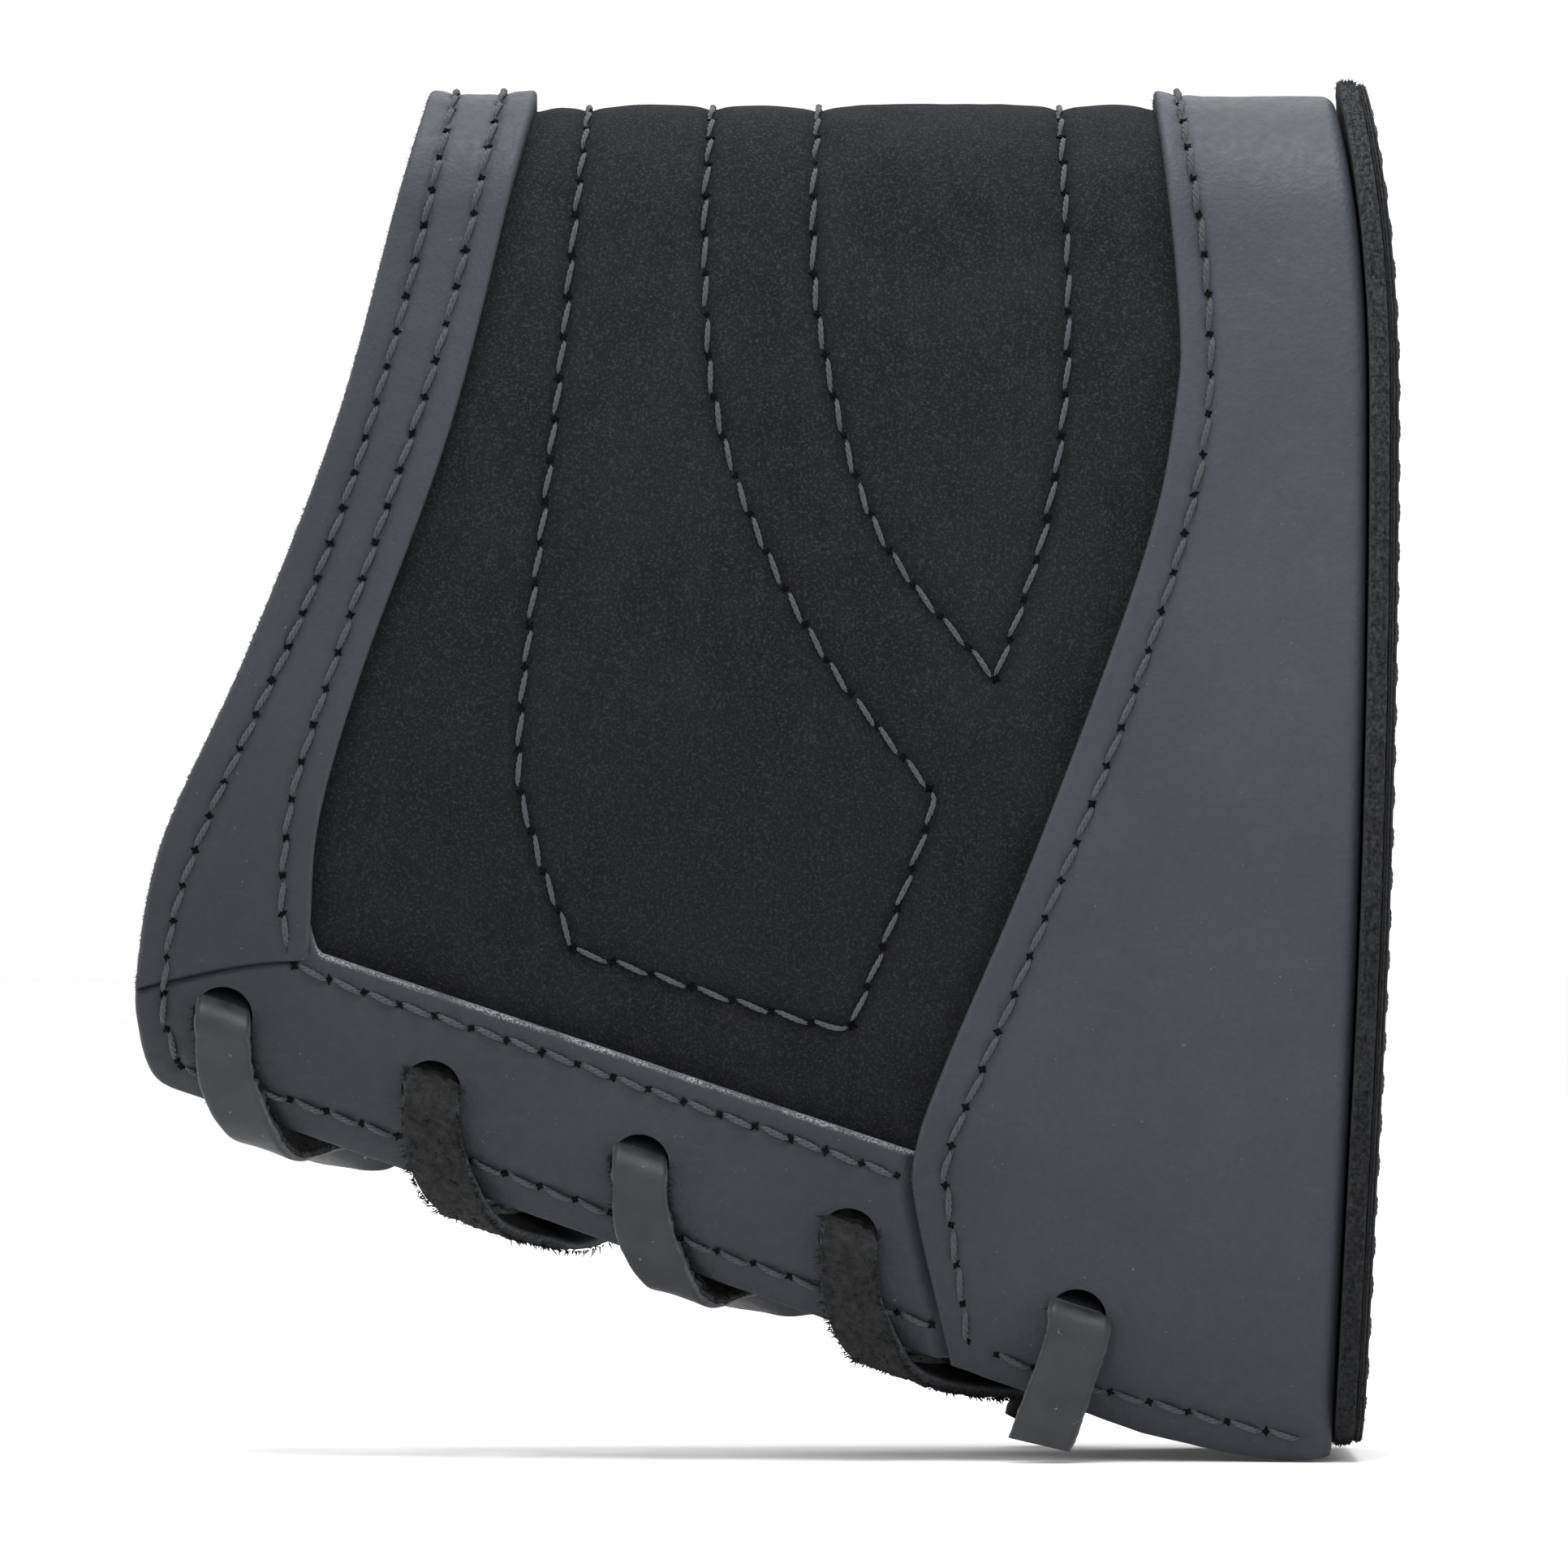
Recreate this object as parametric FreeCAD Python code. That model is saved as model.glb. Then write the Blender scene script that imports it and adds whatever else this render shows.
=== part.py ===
"""Leather slip-on butt pad for a shoulder stock, laced along the belly.

Frame: origin at the middle of the insert's front face, where the stock's butt seats. +X runs back
to the shoulder, +Z up to the comb, and the two belly flaps meet under the XZ plane. Units: mm.

The sleeve wraps over the comb. Its cross-section is a chain of tangent arcs, and every arc is
swept by the angle phi of its outward normal: 0 straight up, 90 sideways, 180 straight down. All
radii and centres change linearly along X, so a layer of it is a ruled loft between two sections.
"""
import FreeCAD
import Part
import math
import os

Vec = FreeCAD.Vector
os.makedirs("parts", exist_ok=True)

# ---------------------------------------------------------------- driving dimensions
NEAR, FAR = -1, 1                    # the sides of the sleeve, as signs of Y
X_FRONT, X_REAR = -115.0, 30.0       # stations of the two lofted sections
COMB_Z = 64.2                        # inner height of the comb, level from front to rear
BELLY_Z0 = -59.2                     # height of the belly arc's centre at X = 0
BELLY_SLOPE = -0.353                 # and its rise towards the front
COMB_R0, COMB_GROW = 12.4, 0.03      # inner comb radius at X = 0, and its growth per mm of X
BELLY_R0, BELLY_GROW = 10.6, 0.02    # inner belly radius, the same way
PHI_COMB, PHI_BELLY, PHI_END = 80.0, 97.0, 155.0   # where comb, side and belly arcs meet and end

GLUE = 0.03                          # gap between two layers
LINING_T, FOAM_T, SUEDE_T = 0.8, 1.2, 1.0
LEATHER_T = 1.4                      # bands and rear panel
H_FOAM = LINING_T                    # each layer's height above the inner face
H_SUEDE = H_FOAM + FOAM_T
H_TRIM = H_SUEDE + SUEDE_T
H_OUT = H_TRIM + LEATHER_T

EDGE_Z0 = -69.2                      # lower edge of the flaps at X = 0, parallel to the belly
LINING_INSET, FOAM_INSET, SUEDE_INSET = 0.4, 2.0, 0.8   # how far each layer stops inside the edge

FLANGE_T, FLANGE_W = 1.4, 5.0        # the rear panel's edge, turned in against the butt
PLATE_X, PLATE_H = 17.0, 5.5         # the butt layers' outline: the section there, this far out
PLATE_BOTTOM_Z, PLATE_CORNER_R = -68.3, 7.0
BACKER_T, FACE_T, FACE_INSET = 2.0, 0.9, 0.3
SEAM_INSET = 2.2                     # the butt seam runs this far inside the backer's edge
INSERT_CLEAR = 0.4                   # between the insert and whatever it slides along
INSERT_TRAVEL = 25.0                 # how far it slides before the flaps stop it
INSERT_BOTTOM_Z, INSERT_CORNER_R = -55.0, 8.0

HOLE_R = 3.0                         # punched lace holes
HOLE_X = [-98.4, -77.4, -56.4, -35.4, -12.4]
HOLE_ABOVE_EDGE = 9.6                # from the flap's lower edge up to a hole's centre
LACE_W, LACE_T = 6.0, 1.5
LACE_IN_HOLE_W = 4.8                 # the thong is pinched where it passes a hole
PINCH_REACH = 3.0                    # and is back to its full width twice this far from the hole's rim
LACE_STUB = 0.1                      # each end stands this far out of its last hole
LACE_UP = 0.6                        # it passes this far above the hole's centre
LACE_OUT, LACE_IN = 1.8, 1.25        # its middle stands this far off the outer and inner faces
LACE_DOWN = [(0.1, -2.6, 0.0), (0.3, -5.2, 0.0), (1.3, -8.0, 0.1)]    # X, Z and extra height from a hole
LACE_ROUND = [(3.3, H_OUT, 0.9, -1.1), (5.8, H_OUT / 2, 0.3, -2.1)]   # X, height, out, up at the cut edge
LACE_UNDER = (-5.0, 0.0, -1.5, 0.9)  # the same, where it turns up inside the other flap
LACE_CLIMB = [(-3.0, -6.8), (-1.2, -4.2), (-0.2, -2.2)]               # X and Z from the hole it climbs to
LACE_SAG = 0.6                       # below the flaps' edges, midway between two holes
BAR_LOW, BAR_IN, BAR_UP, BAR_SAG = 5.0, 2.2, 1.0, 0.4                 # the straight run inside hole 1
CROSS_GAP = 1.35                     # half the distance between the two strands where they cross
TAIL_LEAN = 0.33                     # a tail leans forward this much per mm down
TAIL_LENGTH = 13.3                   # from its hinge line to the middle of its cut end
TAIL_SLANT = 0.2                     # the cut end's difference in length from edge to edge

SIDE_SPREAD = 0.0025                 # how fast the walls part towards the rear, per mm of half width

THREAD_R = 0.3
THREAD_LIFT = 0.14                   # between the leather and a stitch
STITCH, STITCH_LENGTH = 3.8, 3.0     # pitch in leather, and the part that shows
QUILT_STITCH, QUILT_LENGTH = 4.2, 3.2
SEAM_STITCH, SEAM_LENGTH = 4.1, 3.2

# ---------------------------------------------------------------- outlines in the side view, as (X, Z)
TOP_Z, FAR_X = 80.0, 40.0            # past the object's top and rear
SLEEVE_FRONT = [(-74.6, TOP_Z), (-80.6, 58.4), (-86.9, 35), (-95.9, 11.6), (-104.5, -7.5),
                (-107.3, -23), (-104.6, EDGE_Z0 + BELLY_SLOPE * -104.6)]
TOE = [(-6.0, EDGE_Z0 + BELLY_SLOPE * -6.0), (3.2, -69.3), (9.5, -69.9), (12.6, -69.4)]
WINDOW_FRONT = [(-64.3, TOP_Z), (-69.2, 59.3), (-75.5, 34.2), (-84.3, 9.8), (-88.6, -5),
                (-89.4, -16.5)]
WINDOW_BEND = (-89.0, -18.4)         # the middle of the window's rounded lower corner
WINDOW_CORNER = (-87.6, -19.1)
WINDOW_REAR = (30.0, -58.3)
SEAM_LINE = [(-112, -23.6), (-100.0, -20.2), (-88.0, -19.0)]   # the front band ends on the lace bands
PANEL_FRONT = [(-5.4, TOP_Z), (-2.2, 48), (-2.5, 36), (-5.9, 20.5), (-16.5, -8.3), (-25.6, -29.9),
               (-28.6, -38.6)]
PANEL_FOOT = [(-28.6, -44.5), (-25.0, -60.4), (-24.0, -80.0)]
BUTT_FRONT = [(12.8, TOP_Z), (16.5, 52), (17.0, 28), (16.1, -12.7), (14.6, -45.5), (12.9, -80)]

BAND_ROW = [(-75.2, 68.2), (-80.7, 44.5), (-88.9, 18.9), (-101.5, -9.2), (-104.4, -23), (-103.1, -29.8)]
WINDOW_ROW = [(-70.5, 68.2), (-76.1, 43.9), (-86.3, 12.8), (-91.1, -2.1), (-92.4, -13.0), (-91.7, -18.6)]
LACE_ROW_LOW = [(-102.7, -30.4), (-26.9, -56.3)]
LACE_ROW_HIGH = [(-91.2, -20.0), (-69.1, -27.7), (-30.5, -41.1)]
PANEL_ROW = [(-1.8, 68), (0.9, 46.7), (0, 30.2), (-6.9, 6.9), (-19.1, -23.7), (-25.2, -38.5),
             (-25.3, -44), (-23.3, -57.9)]
HEM_ROW = [(-20.5, -59.3), (-3.4, -64.4), (8.6, -67.2)]
QUILT_U = [[(-61.8, 66.8), (-64.8, 36.6), (-68.5, 2.9), (-66.7, -8.4), (-63.1, -18.4)],
           [(-63.1, -18.4), (-38, -26.1), (-35, -26.1)],
           [(-35, -26.1), (-27.3, -5.3), (-27.2, -2.2)],
           [(-27.2, -2.2), (-37.2, 10.3), (-44.7, 24.2), (-48.9, 37.3), (-49.9, 53.9), (-49.2, 66.8)]]
QUILT_V = [[(-38.4, 66.6), (-38.2, 44.2), (-32.4, 23.9), (-20.6, 8.9)],
           [(-20.6, 8.9), (-14, 33.1), (-13.2, 46.1), (-13.8, 66.8)]]


# ---------------------------------------------------------------- the wrap's surface
def arcs(x):
    """One side of the inner section at x: (last phi, centre's Y distance, centre's Z, radius)."""
    comb_r = COMB_R0 + COMB_GROW * x
    belly_r = BELLY_R0 + BELLY_GROW * x
    a, b = math.radians(PHI_COMB), math.radians(PHI_BELLY)
    comb_z = COMB_Z - comb_r
    belly_z = BELLY_Z0 + BELLY_SLOPE * x
    drop = comb_z + comb_r * math.cos(a) - belly_z - belly_r * math.cos(b)
    side_r = drop / (math.cos(a) - math.cos(b))
    side_y = (comb_r - side_r) * math.sin(a)
    side_z = comb_z + (comb_r - side_r) * math.cos(a)
    belly_y = side_y + (side_r - belly_r) * math.sin(b)
    return [(PHI_COMB, 0.0, comb_z, comb_r), (PHI_BELLY, side_y, side_z, side_r),
            (PHI_END, belly_y, belly_z, belly_r)]


def surface(x, phi, h, side=NEAR):
    """The point at station x whose outward normal is phi degrees from up, h mm off the inner face."""
    for last, out, up, r in arcs(x):
        if phi <= last:
            break
    t = math.radians(phi)
    return Vec(x, side * (out + (r + h) * math.sin(t)), up + (r + h) * math.cos(t))


def phi_at(x, z, h):
    """The angle phi at which the surface h mm out has height z at station x."""
    for last, out, up, r in arcs(x):
        if z >= up + (r + h) * math.cos(math.radians(last)):
            break
    return math.degrees(math.acos(max(-1.0, min(1.0, (z - up) / (r + h)))))


def point_at(x, z, h, side=NEAR):
    return surface(x, phi_at(x, z, h), h, side)


def chain(x, h):
    """Edges of the section at x, from the far end over the comb to the near end."""
    def arc(side, first, last):
        return Part.Arc(*[surface(x, p, h, side) for p in (first, (first + last) / 2, last)]).toShape()
    comb = Part.Arc(surface(x, PHI_COMB, h, FAR), surface(x, 0, h), surface(x, PHI_COMB, h)).toShape()
    return [arc(FAR, PHI_END, PHI_BELLY), arc(FAR, PHI_BELLY, PHI_COMB), comb,
            arc(NEAR, PHI_COMB, PHI_BELLY), arc(NEAR, PHI_BELLY, PHI_END)]


def loft(rings):
    return Part.makeLoft([Part.Wire(Part.__sortEdges__(ring)) for ring in rings], True, True)


def layer(low, high):
    """The whole wrap between two heights, before it is cut to a piece's outline."""
    rings = []
    for x in (X_FRONT, X_REAR):
        caps = [Part.makeLine(*[surface(x, PHI_END, h, side) for h in (low, high)]) for side in (FAR, NEAR)]
        rings.append(chain(x, high) + chain(x, low) + caps)
    return loft(rings)


def core(h, stations=(X_FRONT, X_REAR), section_x=None):
    """A solid filling the wrap out to height h. With section_x its section is the same all along."""
    rings = []
    for x in stations:
        at = x if section_x is None else section_x
        ring = chain(at, h) + [Part.makeLine(surface(at, PHI_END, h, NEAR), surface(at, PHI_END, h, FAR))]
        for edge in ring:
            edge.translate(Vec(x - at, 0, 0))
        rings.append(ring)
    return loft(rings)


# ---------------------------------------------------------------- side-view outlines
def spline(points):
    curve = Part.BSplineCurve()
    curve.interpolate([Vec(x, 0, z) for x, z in points])
    return curve.toShape()


def polyline(points):
    return [Part.makeLine(Vec(a[0], 0, a[1]), Vec(b[0], 0, b[1])) for a, b in zip(points, points[1:])]


def prism(edges, width=160.0):
    """A closed side-view outline drawn straight across the object."""
    face = Part.Face(Part.Wire(Part.__sortEdges__(edges)))
    face.translate(Vec(0, -width / 2, 0))
    return face.extrude(Vec(0, width, 0))


def moved(points, dx=0.0, dz=0.0):
    return [(x + dx, z + dz) for x, z in points]


def sleeve(inset=0.0, rear_gap=GLUE):
    """The side view of the whole sleeve, its open edges drawn in by inset, ending short of the butt."""
    front = moved(SLEEVE_FRONT, inset)
    front[-1] = (front[-1][0], front[-1][1] + inset)
    toe = moved(TOE, 0, inset)
    open_rear = (FAR_X, toe[-1][1])
    edges = [spline(front), spline(toe)]
    edges += polyline([front[-1], toe[0]])
    edges += polyline([toe[-1], open_rear, (FAR_X, TOP_Z), front[0]])
    return prism(edges).common(ahead_of(moved(BUTT_FRONT, -rear_gap)))


def ahead_of(line):
    """Everything in front of a line that runs from top to bottom."""
    foot = (-FAR_X * 4, line[-1][1])
    head = (-FAR_X * 4, line[0][1])
    return prism([spline(line)] + polyline([line[-1], foot, head, line[0]]))


def window():
    """The part of the side that the suede shows in, running on under the rear panel."""
    corner = Part.Arc(Vec(WINDOW_FRONT[-1][0], 0, WINDOW_FRONT[-1][1]),
                      Vec(WINDOW_BEND[0], 0, WINDOW_BEND[1]),
                      Vec(WINDOW_CORNER[0], 0, WINDOW_CORNER[1]))
    edges = [spline(WINDOW_FRONT), corner.toShape()]
    edges += polyline([WINDOW_CORNER, WINDOW_REAR, (WINDOW_REAR[0], TOP_Z), WINDOW_FRONT[0]])
    return prism(edges)


def panel_side(gap=0.0):
    """Everything behind the rear panel's front edge."""
    upper = moved(PANEL_FRONT, -gap)
    lower = moved(PANEL_FOOT, -gap)
    edges = [spline(upper), spline([upper[-1], lower[0], lower[1]])]
    edges += polyline([lower[1], lower[2], (FAR_X, lower[2][1]), (FAR_X, TOP_Z), upper[0]])
    return prism(edges)


def below_seam(gap=0.0):
    line = moved(SEAM_LINE, 0, -gap)
    foot = (line[0][0], -TOP_Z)
    edges = [spline(line)] + polyline([line[-1], (FAR_X, line[-1][1]), (FAR_X, -TOP_Z), foot, line[0]])
    return prism(edges)


# ---------------------------------------------------------------- sewing
def cylinder(a, b, radius):
    return Part.makeCylinder(radius, (b - a).Length, a, b - a)


def on_wall(points, h, side=NEAR):
    """A side-view spline laid on one wall of the sleeve, h mm off the inner face."""
    if len(points) == 2:
        edge = polyline(points)[0]
    else:
        edge = spline(points)
    count = max(8, int(edge.Length))
    return [point_at(p.x, p.z, h, side) for p in edge.discretize(Number=count)]


def over_comb(points, h):
    """The same line carried over the comb, from the near wall's top point to the far wall's."""
    (x0, z0), (x1, z1) = points[0], points[1]
    if z1 > z0:
        (x0, z0), (x1, z1) = points[-1], points[-2]
    lean = (x1 - x0) / (z1 - z0)
    first = phi_at(x0, z0, h)
    steps = 10
    way = []
    for i in range(-steps, steps + 1):
        phi = abs(first * i / steps)
        z = surface(x0, phi, h).z
        way.append(surface(x0 + lean * (z - z0), phi, h, NEAR if i < 0 else FAR))
    return way


def stitches(way, pitch, length):
    """Thread showing on the leather: one short bar for each stitch along the way."""
    run = [0.0]
    for a, b in zip(way, way[1:]):
        run.append(run[-1] + (b - a).Length)
    count = max(1, round(run[-1] / pitch))
    step = run[-1] / count

    def at(s):
        i = max(j for j in range(len(run) - 1) if run[j] <= s + 1e-9)
        return way[i] + (way[i + 1] - way[i]) * ((s - run[i]) / (run[i + 1] - run[i]))

    bars = []
    for i in range(count):
        first, last = [at((i + 0.5) * step + end * length / 2) for end in (-1, 1)]
        bars.append(cylinder(first, last, THREAD_R))
    return bars


def seam(points, pitch, length, h):
    """One row of stitches up the near wall, over the comb and down the far wall."""
    lifted = h + THREAD_LIFT + THREAD_R
    near = on_wall(points, lifted, NEAR)
    far = on_wall(points, lifted, FAR)
    if near[0].z < near[-1].z:
        near, far = near[::-1], far[::-1]
    top = over_comb(points, lifted)
    return stitches(near[::-1] + top[1:-1] + far, pitch, length)


def rows(points, pitch, length, h, side):
    return stitches(on_wall(points, h + THREAD_LIFT + THREAD_R, side), pitch, length)


# ---------------------------------------------------------------- the lace
def hole_z(x):
    return EDGE_Z0 + BELLY_SLOPE * x + HOLE_ABOVE_EDGE


def hole_cutter(x, side):
    phi = phi_at(x, hole_z(x), H_OUT / 2)
    return cylinder(surface(x, phi, -HOLE_R, side), surface(x, phi, H_OUT + HOLE_R, side), HOLE_R)


def catmull(points, per_span=4):
    """A smooth way through hand-set points."""
    ends = [points[0] * 2 - points[1]] + points + [points[-1] * 2 - points[-2]]
    way = []
    for a, b, c, d in zip(ends, ends[1:], ends[2:], ends[3:]):
        for i in range(per_span):
            t = i / per_span
            way.append((b * 2 + (c - a) * t + (a * 2 - b * 5 + c * 4 - d) * t ** 2
                        + (b * 3 - a - c * 3 + d) * t ** 3) * 0.5)
    return way + [points[-1]]


def pass_hole(x, side, steps=5):
    """From the inner face up through a hole and over onto the outer face."""
    phi = phi_at(x, hole_z(x) + LACE_UP, H_OUT / 2)
    way = []
    for i in range(steps + 1):
        t = math.pi / 2 * i / steps
        drop = LACE_IN * (1 - math.sin(t))
        way.append(surface(x, phi, -LACE_IN * math.cos(t), side) - Vec(0, 0, drop))
    for i in range(steps + 1):
        t = math.pi / 2 * i / steps
        drop = LACE_OUT * (1 - math.cos(t))
        way.append(surface(x, phi, H_OUT + LACE_OUT * math.sin(t), side) - Vec(0, 0, drop))
    return way


def edge_point(x, side, h, out, up):
    """A point set off from where the surface h mm out meets the flap's cut edge."""
    corner = point_at(x, EDGE_Z0 + BELLY_SLOPE * x, h, side)
    return corner + Vec(0, side * out, up)


def crossing(x0, x1, side, lift):
    """The thong's hand-set points: down and round one flap's edge, over the gap, up inside the other."""
    z0, z1 = hole_z(x0), hole_z(x1)
    xm = (x0 + x1) / 2
    middle = Vec(xm, 0, EDGE_Z0 + BELLY_SLOPE * xm - LACE_SAG + lift)
    outside = [point_at(x0 + dx, z0 + dz, H_OUT + LACE_OUT + extra, side) for dx, dz, extra in LACE_DOWN]
    outside += [edge_point(x0 + dx, side, h, out, up) for dx, h, out, up in LACE_ROUND]
    dx, h, out, up = LACE_UNDER
    inside = [edge_point(x1 + dx, -side, h, out, up)]
    inside += [point_at(x1 + dx, z1 + dz, -LACE_IN, -side) for dx, dz in LACE_CLIMB]
    return outside + [middle] + inside


def lace_way():
    """The whole thong, from the near tail through the ten holes to the far tail."""
    def strand(side, lift):
        way = pass_hole(HOLE_X[0], side)
        for x0, x1 in zip(HOLE_X, HOLE_X[1:]):
            entry = pass_hole(x1, -side)
            smooth = catmull([way[-1]] + crossing(x0, x1, side, lift) + [entry[0]])
            way += smooth[1:-1] + entry
            side = -side
        return way

    x = HOLE_X[0]
    edge = [edge_point(x, side, 0, -BAR_IN, BAR_UP) for side in (NEAR, FAR)]
    low = [point_at(x, hole_z(x) - BAR_LOW, -LACE_IN, side) for side in (NEAR, FAR)]
    a = strand(NEAR, CROSS_GAP)
    b = strand(FAR, -CROSS_GAP)
    bar = catmull([a[0], low[0], edge[0], Vec(x, 0, edge[0].z - BAR_SAG), edge[1], low[1], b[0]])
    return trimmed(a[::-1]) + bar[1:-1] + trimmed(b[::-1])[::-1]


def trimmed(way):
    """A strand that starts just outside its last hole, where the tail hangs from it."""
    x = HOLE_X[-1]
    side = FAR if way[0].y > 0 else NEAR
    mouth = point_at(x, hole_z(x) + LACE_UP, H_OUT + LACE_STUB, side)
    inner = [p for p in way if abs(p.y) < abs(mouth.y) - LACE_STUB or p.x < x - 1]
    return [mouth] + inner


def ribbon(way, pinch):
    """A flat thong along the way, narrower near the pinch points. It lies flat along the flaps."""
    rings = []
    for i, p in enumerate(way):
        before, after = way[max(i - 1, 0)], way[min(i + 1, len(way) - 1)]
        along = (after - before).normalize()
        level = Vec(1, p.y * SIDE_SPREAD, BELLY_SLOPE)
        across = (level - along * level.dot(along)).normalize()
        through = along.cross(across)
        free = min((p - c).Length for c in pinch) / PINCH_REACH - 1
        w = LACE_IN_HOLE_W + (LACE_W - LACE_IN_HOLE_W) * min(1.0, max(0.0, free))
        a, b = across * (w / 2), through * (LACE_T / 2)
        rings.append(Part.makePolygon([p - a - b, p + a - b, p + a + b, p - a + b, p - a - b]))
    return Part.makeLoft(rings, True, True)


def tail(side):
    """The loose end below the last hole, with a half-round top about its hinge line."""
    x = HOLE_X[-1]
    z = hole_z(x) + LACE_UP - LACE_OUT / 2
    top = point_at(x, z, H_OUT + LACE_OUT, side)
    lean = Vec(-TAIL_LEAN, 0, -1).normalize()
    across = Vec(lean.z, 0, -lean.x)
    half = LACE_W / 2
    end = top + lean * TAIL_LENGTH
    ring = [top - across * half, top + across * half, end + across * half + lean * (TAIL_SLANT / 2),
            end - across * half - lean * (TAIL_SLANT / 2)]
    face = Part.Face(Part.makePolygon(ring + [ring[0]]))
    face.translate(Vec(0, -LACE_T / 2, 0))
    strip = face.extrude(Vec(0, LACE_T, 0))
    head = cylinder(top - across * half, top + across * half, LACE_T / 2)
    return strip.fuse(head).removeSplitter(), top


# ---------------------------------------------------------------- butt layers and insert
def butt_slab(near_x, far_x):
    """Everything between two offsets behind the sleeve's rear line."""
    return ahead_of(moved(BUTT_FRONT, far_x)).cut(ahead_of(moved(BUTT_FRONT, near_x)))


def rounded_plate(h, bottom_z, corner_r, section_x):
    """A block with the section's outline, its foot level and its two lower corners rounded."""
    x0, x1 = 0.0, X_REAR
    half = abs(point_at(section_x, bottom_z + corner_r, h).y)
    bend = corner_r * (1 - math.sqrt(0.5))
    turn = half - corner_r
    edges = [Part.makeLine(Vec(x0, -turn, bottom_z), Vec(x0, turn, bottom_z)),
             Part.makeLine(Vec(x0, -half, TOP_Z), Vec(x0, half, TOP_Z))]
    for side in (NEAR, FAR):
        start = Vec(x0, side * half, bottom_z + corner_r)
        middle = Vec(x0, side * (half - bend), bottom_z + bend)
        edges.append(Part.Arc(start, middle, Vec(x0, side * turn, bottom_z)).toShape())
        edges.append(Part.makeLine(Vec(x0, side * half, TOP_Z), start))
    outline = Part.Face(Part.Wire(Part.__sortEdges__(edges)))
    wide = core(h, (x0, x1), section_x)
    above = Part.makeBox(x1 - x0, 200, 200, Vec(x0, -100, bottom_z + corner_r))
    below = wide.common(outline.extrude(Vec(x1 - x0, 0, 0))).cut(above)
    return wide.common(above).fuse(below).removeSplitter()


def butt_layer(start, end, inset=0.0):
    plate = rounded_plate(PLATE_H - inset, PLATE_BOTTOM_Z + inset, PLATE_CORNER_R, PLATE_X)
    return plate.common(butt_slab(start, end))


def insert():
    block = rounded_plate(-INSERT_CLEAR, INSERT_BOTTOM_Z, INSERT_CORNER_R, -INSERT_TRAVEL)
    return block.common(ahead_of(moved(BUTT_FRONT, -FLANGE_T - GLUE - INSERT_CLEAR)))


def butt_seam():
    """Stitches round the butt face, inside its edge, on the side away from the stock."""
    outline = rounded_plate(PLATE_H - SEAM_INSET, PLATE_BOTTOM_Z + SEAM_INSET, PLATE_CORNER_R, PLATE_X)
    ring = [f for f in outline.Faces if abs(f.CenterOfMass.x) < 1e-6][0].OuterWire
    rear = spline(moved(BUTT_FRONT, BACKER_T + FACE_T + THREAD_LIFT + THREAD_R))
    way = []
    for p in ring.discretize(Number=240):
        level = Part.makeLine(Vec(-FAR_X, 0, p.z), Vec(FAR_X, 0, p.z))
        way.append(Vec(rear.distToShape(level)[1][0][0].x, p.y, p.z))
    return stitches(way + [way[0]], SEAM_STITCH, SEAM_LENGTH)


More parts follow.
